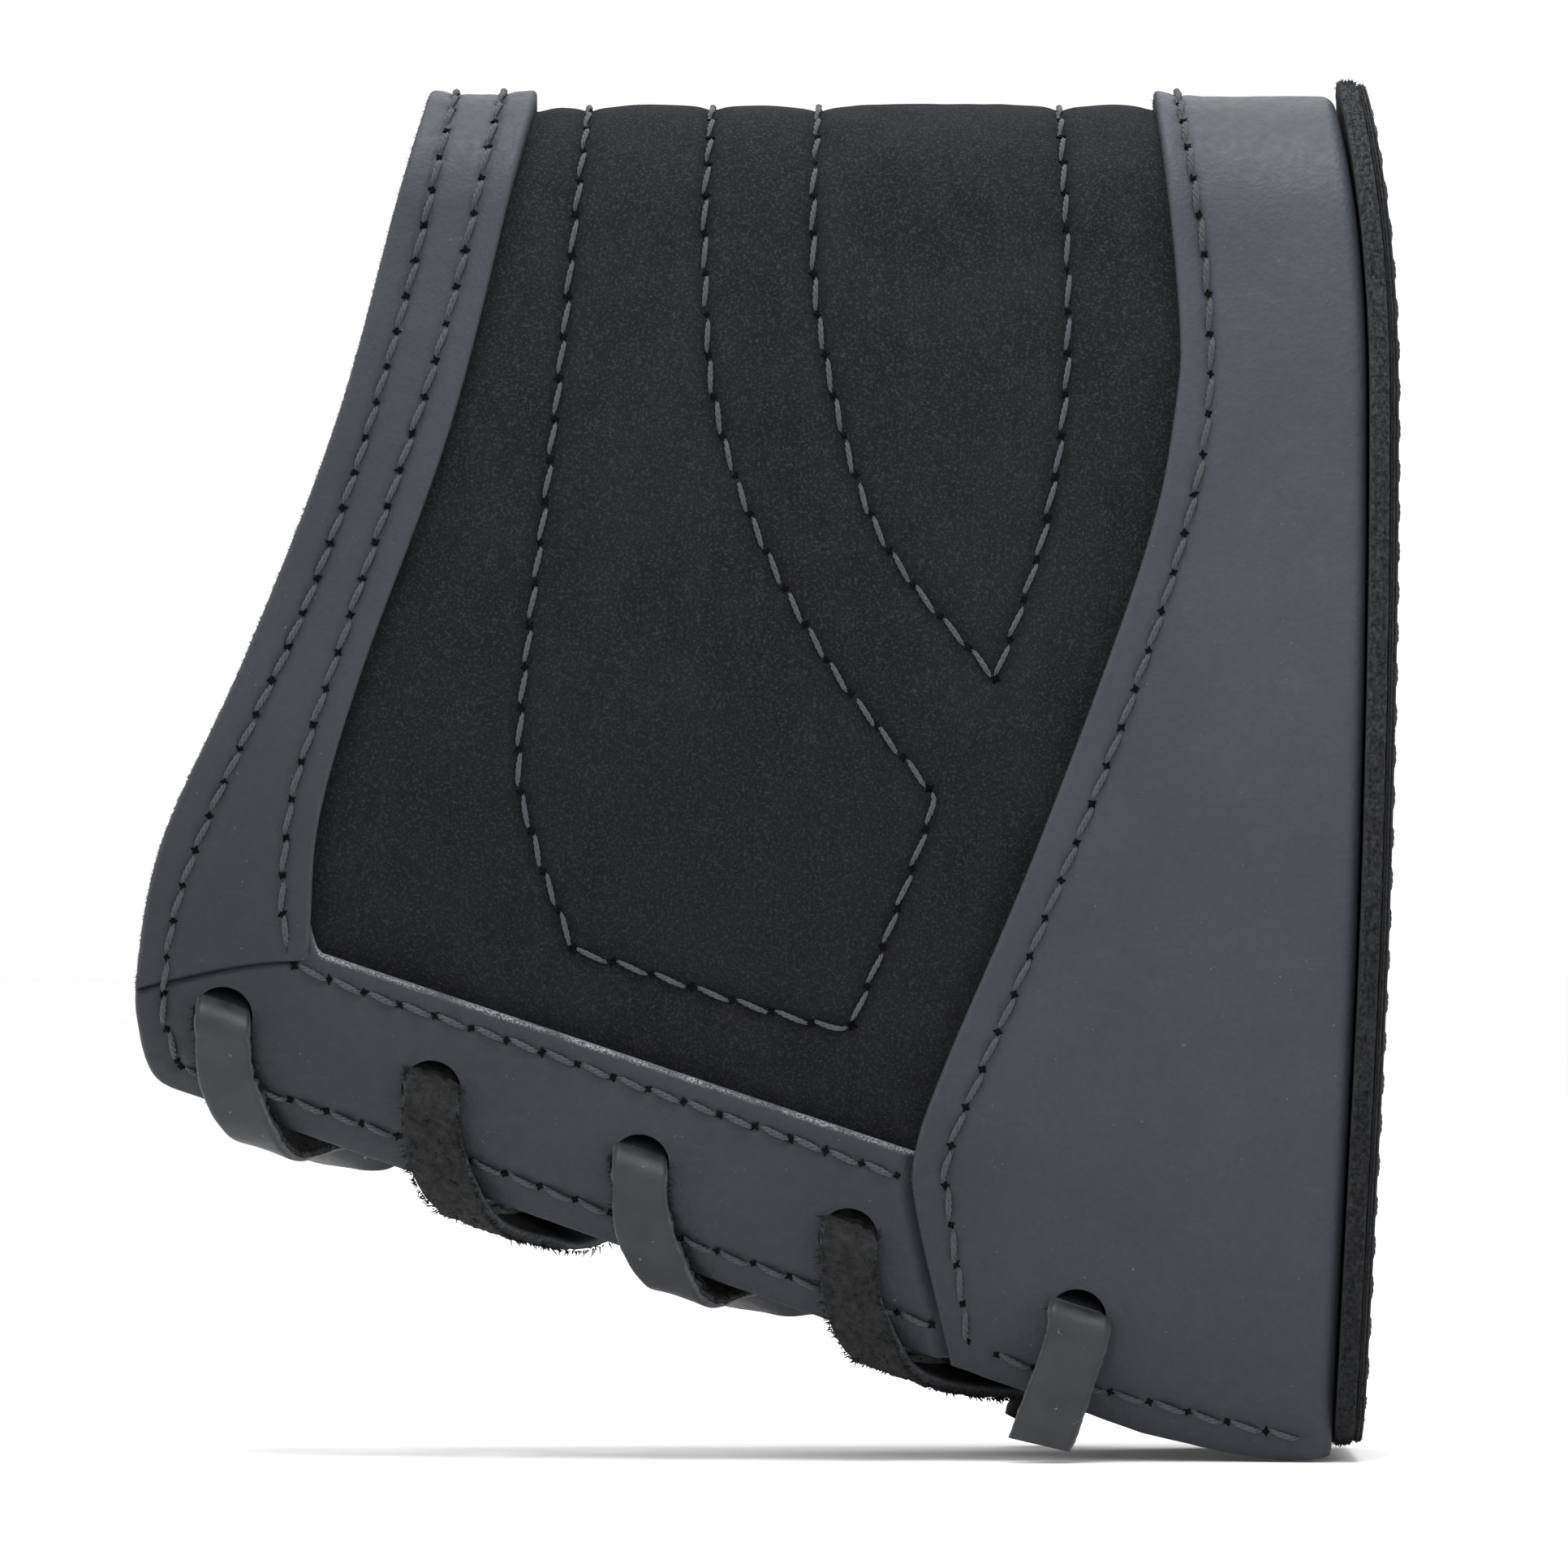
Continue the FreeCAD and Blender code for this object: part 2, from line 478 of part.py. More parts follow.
# ---------------------------------------------------------------- the pieces
def main():
    parts = {}
    holes = [hole_cutter(x, side) for x in HOLE_X for side in (NEAR, FAR)]
    under_flange = -FLANGE_T - 2 * GLUE

    lining = layer(0, LINING_T - GLUE).common(sleeve(LINING_INSET, -under_flange))
    foam = layer(H_FOAM, H_SUEDE - GLUE).common(sleeve(FOAM_INSET, -under_flange))
    suede = layer(H_SUEDE, H_TRIM - GLUE).common(sleeve(SUEDE_INSET, -under_flange))
    leather = layer(H_TRIM, H_OUT).common(sleeve())
    trim = leather.cut(window()).cut(panel_side(GLUE))
    flange = core(H_OUT).cut(core(-FLANGE_W)).common(sleeve()).common(butt_slab(-FLANGE_T - GLUE, -GLUE))
    flange = flange.common(rounded_plate(PLATE_H, PLATE_BOTTOM_Z, PLATE_CORNER_R, PLATE_X))
    panel = leather.common(panel_side()).fuse(flange).removeSplitter()

    parts["lining"] = lining.cut(holes)
    parts["quilt_foam"] = foam.cut(holes)
    parts["suede_panel"] = suede.cut(holes)
    parts["front_band"] = trim.cut(below_seam()).cut(holes)
    bands = trim.common(below_seam(GLUE)).cut(holes).Solids
    parts["near_lace_band"] = min(bands, key=lambda s: s.CenterOfMass.y)
    parts["far_lace_band"] = max(bands, key=lambda s: s.CenterOfMass.y)
    parts["rear_panel"] = panel.cut(holes)

    parts["butt_backer"] = butt_layer(0.0, BACKER_T)
    parts["butt_face"] = butt_layer(BACKER_T + GLUE, BACKER_T + FACE_T, FACE_INSET)
    parts["recoil_insert"] = insert()

    mouths = [surface(x, phi_at(x, hole_z(x), 0), h, s)
              for x in HOLE_X for s in (NEAR, FAR) for h in (0, H_OUT)]
    parts["lace"] = ribbon(lace_way(), mouths)
    for side, name in ((NEAR, "near_lace_tail"), (FAR, "far_lace_tail")):
        parts[name], hinge = tail(side)
        print(name, "hinge", [round(v, 3) for v in hinge])

    parts["front_band_edge_stitches"] = seam(BAND_ROW, STITCH, STITCH_LENGTH, H_OUT)
    parts["front_band_window_stitches"] = seam(WINDOW_ROW, STITCH, STITCH_LENGTH, H_OUT)
    parts["rear_panel_stitches"] = seam(PANEL_ROW, SEAM_STITCH, SEAM_LENGTH, H_OUT)
    for side, name in ((NEAR, "near"), (FAR, "far")):
        parts[name + "_lace_band_low_stitches"] = rows(LACE_ROW_LOW, STITCH, STITCH_LENGTH, H_OUT, side)
        parts[name + "_lace_band_high_stitches"] = rows(LACE_ROW_HIGH, STITCH, STITCH_LENGTH, H_OUT, side)
        parts[name + "_hem_stitches"] = rows(HEM_ROW, SEAM_STITCH, SEAM_LENGTH, H_OUT, side)
    u_lines = seam(QUILT_U[0], QUILT_STITCH, QUILT_LENGTH, H_TRIM)
    u_lines += seam(QUILT_U[3], QUILT_STITCH, QUILT_LENGTH, H_TRIM)
    for side in (NEAR, FAR):
        for line in QUILT_U[1:3]:
            u_lines += rows(line, QUILT_STITCH, QUILT_LENGTH, H_TRIM, side)
    parts["quilt_u_stitches"] = u_lines
    parts["quilt_v_stitches"] = [bar for line in QUILT_V
                                 for bar in seam(line, QUILT_STITCH, QUILT_LENGTH, H_TRIM)]
    parts["butt_seam_stitches"] = butt_seam()

    for name, shape in parts.items():
        if isinstance(shape, list):
            shape = Part.makeCompound(shape)
        good = shape.isValid() and all(s.Volume > 0 for s in shape.Solids)
        print(f"{name:28s} solids {len(shape.Solids):4d} volume {shape.Volume:10.1f} valid {good}")
        if len(shape.Solids) == 1:
            shape = shape.Solids[0]
        shape.exportStep("parts/" + name + ".step")


main()
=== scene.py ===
"""Looks for the laced leather butt pad. Shapes are laid out as flat leather patterns and wrapped.

A pattern point is (x, s): x along the object, s round it from the comb, positive on the near side
(-Y). A height h stands off the sleeve's inner face. Pattern work is in millimetres, and a mesh is
scaled to metres when it is made.
"""
import math

import bmesh
import bpy
import numpy as np
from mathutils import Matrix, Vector


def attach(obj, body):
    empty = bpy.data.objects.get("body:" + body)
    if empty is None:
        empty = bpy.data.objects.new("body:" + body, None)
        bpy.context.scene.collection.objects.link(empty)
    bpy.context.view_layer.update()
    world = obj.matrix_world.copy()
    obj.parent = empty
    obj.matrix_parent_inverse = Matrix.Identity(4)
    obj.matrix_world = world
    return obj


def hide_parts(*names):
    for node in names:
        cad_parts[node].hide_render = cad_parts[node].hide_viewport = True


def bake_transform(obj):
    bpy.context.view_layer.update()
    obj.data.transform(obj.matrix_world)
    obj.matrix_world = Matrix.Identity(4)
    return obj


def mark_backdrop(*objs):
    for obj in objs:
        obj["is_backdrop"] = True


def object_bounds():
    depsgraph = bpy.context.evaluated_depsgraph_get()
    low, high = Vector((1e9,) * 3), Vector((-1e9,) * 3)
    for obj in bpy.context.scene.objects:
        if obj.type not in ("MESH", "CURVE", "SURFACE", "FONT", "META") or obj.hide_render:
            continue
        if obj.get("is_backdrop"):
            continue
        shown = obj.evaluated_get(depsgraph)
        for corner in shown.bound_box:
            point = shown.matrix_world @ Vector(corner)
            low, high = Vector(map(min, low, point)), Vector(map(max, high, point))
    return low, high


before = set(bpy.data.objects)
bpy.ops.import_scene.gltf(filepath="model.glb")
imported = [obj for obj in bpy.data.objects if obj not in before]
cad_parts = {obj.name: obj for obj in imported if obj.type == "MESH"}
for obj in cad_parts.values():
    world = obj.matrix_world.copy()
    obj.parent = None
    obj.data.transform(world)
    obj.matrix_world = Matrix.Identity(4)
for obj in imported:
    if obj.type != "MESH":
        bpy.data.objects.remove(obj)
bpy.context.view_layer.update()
MM = 0.001
rng = np.random.default_rng(20)

# ---------------------------------------------------------------- the wrap, as part.py has it
NEAR, FAR = -1, 1
COMB_Z, BELLY_Z0, BELLY_SLOPE = 64.2, -59.2, -0.353
COMB_R0, COMB_GROW = 12.4, 0.03
BELLY_R0, BELLY_GROW = 10.6, 0.02
PHI_COMB, PHI_BELLY = math.radians(80), math.radians(97)
H_FOAM, H_SUEDE, H_TRIM, H_OUT = 0.8, 2.0, 3.0, 4.4
EDGE_Z0, HOLE_ABOVE_EDGE = -69.2, 9.6
HOLE_X = [-98.4, -77.4, -56.4, -35.4, -12.4]
HOLE_R, LACE_UP, LACE_OUT, LACE_IN = 3.0, 0.6, 1.8, 1.25
LACE_W, LACE_IN_HOLE_W, LACE_T, CROSS_GAP = 6.0, 5.7, 1.5, 1.3
PLATE_X, PLATE_H = 17.0, 5.5


def section(x):
    """Radii and centres of the inner section's three arcs at x."""
    comb_r = COMB_R0 + COMB_GROW * x
    belly_r = BELLY_R0 + BELLY_GROW * x
    comb_z = COMB_Z - comb_r
    belly_z = BELLY_Z0 + BELLY_SLOPE * x
    a, b = PHI_COMB, PHI_BELLY
    drop = comb_z + comb_r * math.cos(a) - belly_z - belly_r * math.cos(b)
    side_r = drop / (math.cos(a) - math.cos(b))
    side_y = (comb_r - side_r) * math.sin(a)
    side_z = comb_z + (comb_r - side_r) * math.cos(a)
    belly_y = side_y + (side_r - belly_r) * math.sin(b)
    return (comb_r, 0 * x, comb_z), (side_r, side_y, side_z), (belly_r, belly_y, belly_z)


def surface(x, phi, h, side=NEAR):
    """Points whose outward normal is phi from straight up, h off the inner face."""
    x, phi, h, side = np.broadcast_arrays(np.asarray(x, float), phi, h, side)
    arcs = section(x)
    pick = [phi <= PHI_COMB, phi <= PHI_BELLY, phi > PHI_BELLY]
    r, out, up = (np.select(pick, [arc[i] for arc in arcs]) for i in range(3))
    return np.stack([x, side * (out + (r + h) * np.sin(phi)), up + (r + h) * np.cos(phi)], -1)


def phi_at(x, z, h):
    """The normal's angle where the surface h off the inner face has height z."""
    x, z, h = np.broadcast_arrays(np.asarray(x, float), z, h)
    comb, side, belly = section(x)
    pick = [z >= comb[2] + (comb[0] + h) * math.cos(PHI_COMB),
            z >= side[2] + (side[0] + h) * math.cos(PHI_BELLY), z < np.inf]
    r, up = (np.select(pick, [arc[i] for arc in (comb, side, belly)]) for i in (0, 2))
    return np.arccos(np.clip((z - up) / (r + h), -1, 1))


def point_at(x, z, h, side=NEAR):
    return surface(x, phi_at(x, z, h), h, side)


def girths(x):
    """Distance round the outer face from the comb to the ends of the comb and side arcs."""
    comb, side, belly = section(x)
    first = (comb[0] + H_OUT) * PHI_COMB
    return first, first + (side[0] + H_OUT) * (PHI_BELLY - PHI_COMB)


def wrap(x, s, h):
    """Pattern points to the frame."""
    x, s, h = np.broadcast_arrays(np.asarray(x, float), s, h)
    (comb_r, _, _), (side_r, _, _), (belly_r, _, _) = section(x)
    one, two = girths(x)
    g = np.abs(s)
    phi = np.select([g < one, g < two, g >= two],
                    [g / (comb_r + H_OUT), PHI_COMB + (g - one) / (side_r + H_OUT),
                     PHI_BELLY + (g - two) / (belly_r + H_OUT)])
    return surface(x, phi, h, -np.sign(s) + (s == 0))


def girth(x, z):
    """Pattern distance s, on the near side, of the outer face's point at (x, z)."""
    x, z = np.broadcast_arrays(np.asarray(x, float), z)
    (comb_r, _, _), (side_r, _, _), (belly_r, _, _) = section(x)
    one, two = girths(x)
    phi = phi_at(x, z, H_OUT)
    return np.select([phi <= PHI_COMB, phi <= PHI_BELLY, phi > PHI_BELLY],
                     [phi * (comb_r + H_OUT), one + (phi - PHI_COMB) * (side_r + H_OUT),
                      two + (phi - PHI_BELLY) * (belly_r + H_OUT)])


# ---------------------------------------------------------------- outlines in the side view, as (X, Z)
SLEEVE_FRONT = [(-74.6, 80), (-80.6, 58.4), (-86.9, 35), (-95.9, 11.6), (-104.5, -7.5), (-107.1, -21),
                (-106.9, -27), (-105.8, -31), (-103.6, -32.8), (-102.4, -33.1)]
TOE = [(-6.0, -67.1), (3.2, -69.2), (9.0, -69.8), (11.8, -69.6), (13.0, -68.9)]
WINDOW_FRONT = [(-64.3, 80), (-69.2, 59.3), (-75.5, 34.2), (-84.3, 9.8), (-88.6, -5), (-89.5, -15.0),
                (-89.6, -20), (-89.6, -24)]
WINDOW_LOW = [(-89.5, -15.9), (-89.25, -17.3), (-88.7, -18.3), (-87.9, -18.95), (-86.9, -19.35), (30, -58.4)]
SEAM_LINE = [(-112, -23.6), (-107, -21.8), (-100.0, -20.2), (-94.0, -19.2), (-89.0, -18.8)]
PANEL_FRONT = [(-5.4, 80), (-2.2, 48), (-2.5, 36), (-5.9, 20.5), (-16.5, -8.3), (-25.6, -29.9),
               (-28.6, -38.6), (-28.6, -44.5), (-25.0, -60.4)]
BUTT_FRONT = [(12.8, 80), (16.5, 52), (17.0, 28), (16.1, -12.7), (14.6, -45.5), (12.9, -80)]

BAND_ROW = [(-72.6, 80), (-75.2, 68.2), (-80.7, 44.5), (-88.9, 18.9), (-101.5, -9.2), (-104.4, -23),
            (-103.1, -29.8)]
WINDOW_ROW = [(-67.4, 80), (-70.5, 68.2), (-76.1, 43.9), (-86.3, 12.8), (-91.1, -2.1), (-92.4, -13.0),
              (-91.7, -18.6)]
LACE_ROW_LOW = [(-102.7, -30.4), (-88, -34.9), (-68.7, -41.6), (-49.8, -48.5), (-26.9, -56.3)]
LACE_ROW_HIGH = [(-91.2, -20.0), (-84, -22.8), (-69.1, -27.7), (-54, -33), (-30.5, -41.1)]
PANEL_ROW = [(-3.0, 80), (-1.8, 68), (0.9, 46.7), (0, 30.2), (-6.9, 6.9), (-19.1, -23.7),
             (-25.2, -38.5), (-25.3, -44), (-23.3, -57.9)]
HEM_ROW = [(-20.5, -59.3), (-11, -62.5), (-3.4, -64.4), (4.4, -66.4), (10.6, -67.6)]
QUILT_A = [(-60.2, 80), (-61.8, 66.8), (-64.8, 36.6), (-68.5, 2.9), (-66.7, -8.4), (-63.1, -18.4)]
QUILT_LOW = [(-63.1, -18.4), (-49.2, -22.9), (-38, -26.1), (-35, -26.1)]
QUILT_REAR = [(-35, -26.1), (-32.2, -18.9), (-27.3, -5.3), (-27.2, -2.2)]
QUILT_B = [(-48.4, 80), (-49.2, 66.8), (-49.9, 53.9), (-48.9, 37.3), (-44.7, 24.2), (-37.2, 10.3),
           (-27.2, -2.2)]
QUILT_C = [(-37.8, 80), (-38.4, 66.6), (-38.9, 58.3), (-38.2, 44.2), (-32.4, 23.9), (-20.6, 8.9)]
QUILT_D = [(-14.0, 80), (-13.8, 66.8), (-13.2, 46.1), (-14, 33.1), (-16.2, 21.8), (-20.6, 8.9)]


def curve(points, per_span=12):
    """A smooth line through given points, in the side view or in space."""
    q = np.array(points, float)
    p = np.concatenate([[2 * q[0] - q[1]], q, [2 * q[-1] - q[-2]]])
    t = (np.arange(per_span) / per_span)[:, None]
    spans = [0.5 * (2 * b + (c - a) * t + (2 * a - 5 * b + 4 * c - d) * t ** 2
                    + (3 * b - a - 3 * c + d) * t ** 3) for a, b, c, d in zip(p, p[1:], p[2:], p[3:])]
    return np.concatenate([*spans, p[-2:-1]])


def x_of(points):
    """x as a function of z, for a line that falls all the way."""
    line = curve(points)[::-1]
    return lambda z: np.interp(z, line[:, 1], line[:, 0])


def z_of(points):
    line = curve(points)
    return lambda x: np.interp(x, line[:, 0], line[:, 1])


def edge_at(edge, x, s):
    """An edge's x at the height of pattern points."""
    return edge(wrap(x, np.abs(s), H_OUT)[..., 2])


def over(edge, s):
    """x along an edge at pattern distance s from the comb."""
    x = np.full(np.shape(s), -40.0)
    for _ in range(14):
        x = edge_at(edge, x, s)
    return x


front_x, window_x = x_of(SLEEVE_FRONT), x_of(WINDOW_FRONT)
panel_x, butt_x = x_of(PANEL_FRONT), x_of(BUTT_FRONT)
window_z, seam_z, toe_z = (z_of(p) for p in (WINDOW_LOW, SEAM_LINE, TOE))


def edge_z(x):
    """Height of the flaps' straight cut edge."""
    return EDGE_Z0 + BELLY_SLOPE * x


def hole_z(x):
    """Height of a lace hole's centre."""
    return edge_z(x) + HOLE_ABOVE_EDGE


def belly_z(x):
    """Height of the whole cut edge, with its rounded front corner and its toe."""
    corner_x, toe_x = -101.5, TOE[0][0]
    corner = z_of([(-107.2, -29.0), (-106.2, -30.9), (-104.4, -32.3), (corner_x, edge_z(corner_x))])
    return np.select([x < corner_x, x > toe_x, x <= toe_x], [corner(x), toe_z(x), edge_z(x)])


# ---------------------------------------------------------------- seams on the pattern
def pattern(points, whole=False):
    """A side-view line as a pattern line on the near side, or over the comb and down the far side too."""
    line = curve(points)
    if whole:
        s_end = float(girth(line[-1, 0], line[-1, 1]))
        s = np.linspace(0, s_end, 160)
        line = np.stack([over(x_of(points), s), s], -1)
        mirror = line[::-1] * [1, -1]
        return np.concatenate([mirror[:-1], line])
    return np.stack([line[:, 0], girth(line[:, 0], line[:, 1])], -1)


def mirrored(line):
    return line * [1, -1]


def length_along(line):
    """Each point's distance along a line from its start."""
    return np.concatenate([[0], np.cumsum(np.linalg.norm(np.diff(line, axis=0), axis=1))])


def walk(line, distances):
    """Points at these distances along a line."""
    run = length_along(line)
    return np.stack([np.interp(distances, run, column) for column in line.T], -1)


def unit(vectors):
    return vectors / np.linalg.norm(vectors, axis=-1, keepdims=True)


def length_of(line):
    """A line's whole length."""
    return float(np.linalg.norm(np.diff(line, axis=0), axis=1).sum())


def holes_along(line, pitch):
    """Needle holes, evenly spaced along a line from end to end."""
    count = max(1, round(length_of(line) / pitch))
    return walk(line, np.linspace(0, length_of(line), count + 1))


def distance(x, s, line):
    """Distance from pattern points to a pattern line."""
    p = np.stack([x.ravel(), s.ravel()], -1)
    a, b = line[:-1], line[1:]
    span = b - a
    size = np.maximum((span ** 2).sum(1), 1e-12)
    best = np.full(len(p), 1e9)
    for i in range(0, len(p), 20000):
        q = p[i:i + 20000, None, :] - a[None]
        t = np.clip((q * span[None]).sum(2) / size, 0, 1)
        best[i:i + 20000] = ((q - t[..., None] * span[None]) ** 2).sum(2).min(1)
    return np.sqrt(best).reshape(x.shape)


def distance_to(x, s, points):
    """Distance from pattern points to the nearest of some points."""
    p = np.stack([x.ravel(), s.ravel()], -1)
    best = np.full(len(p), 1e9)
    for i in range(0, len(p), 20000):
        best[i:i + 20000] = ((p[i:i + 20000, None, :] - points[None]) ** 2).sum(2).min(1)
    return np.sqrt(best).reshape(x.shape)


def ripple(x, s, size, seed):
    """A smooth random field of about unit height whose bumps are about size across."""
    local = np.random.default_rng(seed)
    total = np.zeros(np.shape(x))
    for _ in range(14):
        angle, phase = local.uniform(0, 2 * math.pi, 2)
        rate = 2 * math.pi / (size * local.uniform(1.4, 3.2))
        total += np.cos(rate * (x * math.cos(angle) + s * math.sin(angle)) + phase)
    return total / math.sqrt(7)


LINES = {
    "band_edge": [pattern(BAND_ROW, True)],
    "band_window": [pattern(WINDOW_ROW, True)],
    "panel": [pattern(PANEL_ROW, True)],
    "low_near": [pattern(LACE_ROW_LOW)],
    "high_near": [pattern(LACE_ROW_HIGH)],
    "hem_near": [pattern(HEM_ROW)],
    "quilt_u": [pattern(QUILT_A, True), pattern(QUILT_B, True), pattern(QUILT_LOW), pattern(QUILT_REAR),
                mirrored(pattern(QUILT_LOW)), mirrored(pattern(QUILT_REAR))],
    "quilt_v": [pattern(QUILT_C, True), pattern(QUILT_D, True)],
}
for row in ("low", "high", "hem"):
    LINES[row + "_far"] = [mirrored(line) for line in LINES[row + "_near"]]
PITCH = {"band_edge": 3.75, "band_window": 3.9, "panel": 4.1, "low": 3.8, "high": 3.8, "hem": 4.1,
         "quilt_u": 4.2, "quilt_v": 4.2}


def pitch_of(row):
    return PITCH[row.rsplit("_", 1)[0] if row.endswith(("near", "far")) else row]


HOLES = {row: [holes_along(line, pitch_of(row)) for line in lines] for row, lines in LINES.items()}


# ---------------------------------------------------------------- meshes
def new_mesh(name, points, faces):
    mesh = bpy.data.meshes.new(name)
    mesh.vertices.add(len(points))
    mesh.vertices.foreach_set("co", (np.asarray(points, np.float32) * MM).ravel())
    faces = np.asarray(faces, np.int32)
    mesh.loops.add(faces.size)
    mesh.loops.foreach_set("vertex_index", faces.ravel())
    mesh.polygons.add(len(faces))
    mesh.polygons.foreach_set("loop_start", np.arange(0, faces.size, faces.shape[1], dtype=np.int32))
    mesh.update(calc_edges=True)
    mesh.validate()
    mesh.polygons.foreach_set("use_smooth", np.ones(len(mesh.polygons), bool))
    piece = bpy.data.objects.new(name, mesh)
    bpy.context.scene.collection.objects.link(piece)
    return piece


def give(piece, name, values):
    """Stores one number per vertex for a material to read."""
    layer = piece.data.attributes.new(name, "FLOAT", "POINT")
    layer.data.foreach_set("value", np.asarray(values, np.float32).ravel())


def grid_faces(rows, cols, wrap_cols=False):
    i = np.arange(rows * cols).reshape(rows, cols)
    if wrap_cols:
        i = np.concatenate([i, i[:, :1]], 1)
    return np.stack([i[:-1, :-1], i[:-1, 1:], i[1:, 1:], i[1:, :-1]], -1).reshape(-1, 4)


def shell(name, x, s, outer, inner, edge=None, x_inner=None):
    """A closed sheet: its outer face over its inner face, with a wall round the rim."""
    rows, cols = x.shape
    n = rows * cols
    top = wrap(x, s, outer).reshape(-1, 3)
    bottom = wrap(x if x_inner is None else x_inner, s, inner).reshape(-1, 3)
    faces = grid_faces(rows, cols)
    i = np.arange(n).reshape(rows, cols)
    rim = np.concatenate([i[0, :-1], i[:-1, -1], i[-1, :0:-1], i[:0:-1, 0]])
    after = np.roll(rim, -1)
    wall = np.stack([rim, rim + n, after + n, after], -1)
    piece = new_mesh(name, np.concatenate([top, bottom]),
                     np.concatenate([faces[:, ::-1], faces + n, wall[:, ::-1]]))
    edges = np.zeros(n) if edge is None else edge.ravel()
    give(piece, "edge", np.concatenate([edges, np.ones(n)]))
    return piece


def outward(piece):
    """Turns the faces of a closed mesh to look out."""
    work = bmesh.new()
    work.from_mesh(piece.data)
    if work.calc_volume(signed=True) < 0:
        bmesh.ops.reverse_faces(work, faces=work.faces)
    work.to_mesh(piece.data)
    work.free()
    piece.data.update()


EDGE_STEPS = [0, 0.12, 0.3, 0.55, 0.9, 1.4]
BEVEL = 0.55


def columns(count):
    """Fractions across a strip, with offsets in mm that crowd the lines near both edges."""
    even = np.linspace(0, 1, count + 2)[1:-1]
    u = np.concatenate([np.zeros(len(EDGE_STEPS)), even, np.ones(len(EDGE_STEPS))])
    off = np.concatenate([EDGE_STEPS, 2.0 * (1 - 2 * even), -np.array(EDGE_STEPS)[::-1]])
    return u, off


def lay_out(left, right, low, across, along, high=None):
    """Pattern grid between two edges, from its lower line up, or over the comb to the far side's."""
    u, u_off = columns(across)
    v, v_off = columns(along)
    if high is None:
        v = 2 * v - 1
    u, v = np.meshgrid(u, v)
    u_off, v_off = np.meshgrid(u_off, v_off)
    x = np.full(u.shape, -40.0)
    s = v * 100
    for _ in range(16):
        a, b = edge_at(left, x, s), edge_at(right, x, s)
        x = a + (b - a) * u + u_off
        if high is None:
            s = low(x) * v + v_off
        else:
            s = high(x) + (low(x) - high(x)) * v + v_off
    return x, s


def girth_of(line_z, lap=0.0):
    """The pattern height of a line given by z, as a function of x, lapped over by so many mm."""
    return lambda x: girth(x, line_z(x)) + lap


def edge_distance(x, s):
    """Distance of every grid point to the grid's own outline."""
    points = np.stack([x, s], -1)
    outline = np.concatenate([points[0], points[1:, -1], points[-1, -2::-1], points[-2::-1, 0]])
    keep = np.concatenate([[True], np.linalg.norm(np.diff(outline, axis=0), axis=1) > 1e-6])
    outline = outline[keep]
    return distance(x, s, outline[::2] if len(outline) > 900 else outline)


def rounded(d, radius):
    """How far a cut edge of this radius drops at distance d from the edge."""
    t = np.clip(1 - d / radius, 0, 1)
    return radius * (1 - np.sqrt(1 - t ** 2))


def sewn(x, s, rows):
    """How far stitching pulls a face down: a soft groove along each row, deeper at the needle holes."""
    drop = np.zeros(x.shape)
    for row in rows:
        for line, holes in zip(LINES[row], HOLES[row]):
            near = distance(x, s, line[::3] if len(line) > 60 else line)
            hole = distance_to(x, s, holes)
            drop = np.maximum(drop, 0.22 * np.exp(-(near / 0.8) ** 2) + 0.32 * np.exp(-(hole / 0.55) ** 2))
    return drop


# ---------------------------------------------------------------- leather and suede panels
def suede_panel():
    """The quilted side: one piece of suede over the comb, puffed between its quilt lines."""
    left = lambda z: window_x(z) - 3.0
    right = lambda z: panel_x(z) + 3.0
    x, s = lay_out(left, right, girth_of(window_z, 3.0), 105, 380)
    seam = np.full(x.shape, 1e9)
    hole = np.full(x.shape, 1e9)
    for row in ("quilt_u", "quilt_v"):
        for line, holes in zip(LINES[row], HOLES[row]):
            seam = np.minimum(seam, distance(x, s, line[::3] if len(line) > 60 else line))
            hole = np.minimum(hole, distance_to(x, s, holes))
    z = wrap(x, np.abs(s), H_OUT)[..., 2]
    to_window = np.minimum(np.abs(x - window_x(z)), np.abs(x - panel_x(z)))
    to_low = np.abs(np.abs(s) - girth(x, window_z(x)))
    rim = np.minimum(to_window, to_low)
    puff = 0.42 * (1 - np.exp(-(seam / 3.4) ** 1.3)) - 0.26 * np.exp(-(seam / 0.9) ** 2)
    puff -= 0.28 * np.exp(-(hole / 0.6) ** 2)
    puff *= 1 - np.exp(-(rim / 2.5) ** 2)
    outer = H_TRIM - 0.15 + puff + 0.05 * ripple(x, s, 7, 3) + 0.02 * ripple(x, s, 2.0, 4)
    outer -= 0.25 * np.exp(-(rim / 1.2) ** 2)
    piece = shell("suede_quilt", x, s, outer, np.full(x.shape, H_SUEDE))
    # groove is how near a point lies to a quilt seam; the suede material paints shade there.
    give(piece, "groove", np.concatenate([np.exp(-(seam / 1.3) ** 2).ravel(), np.zeros(x.size)]))
    return piece


def leather_face(x, s, rows, top, lift, seed, rim=None):
    """Heights of a stitched leather face: bevelled cut edges, grooves under the thread, slight waves."""
    d = edge_distance(x, s) if rim is None else rim
    outer = top - rounded(d, BEVEL) - sewn(x, s, rows)
    outer += lift * np.exp(-d / 2.2) + 0.04 * ripple(x, s, 9, seed) + 0.012 * ripple(x, s, 1.6, seed + 1)
    return outer, np.exp(-(d / 0.42) ** 2)


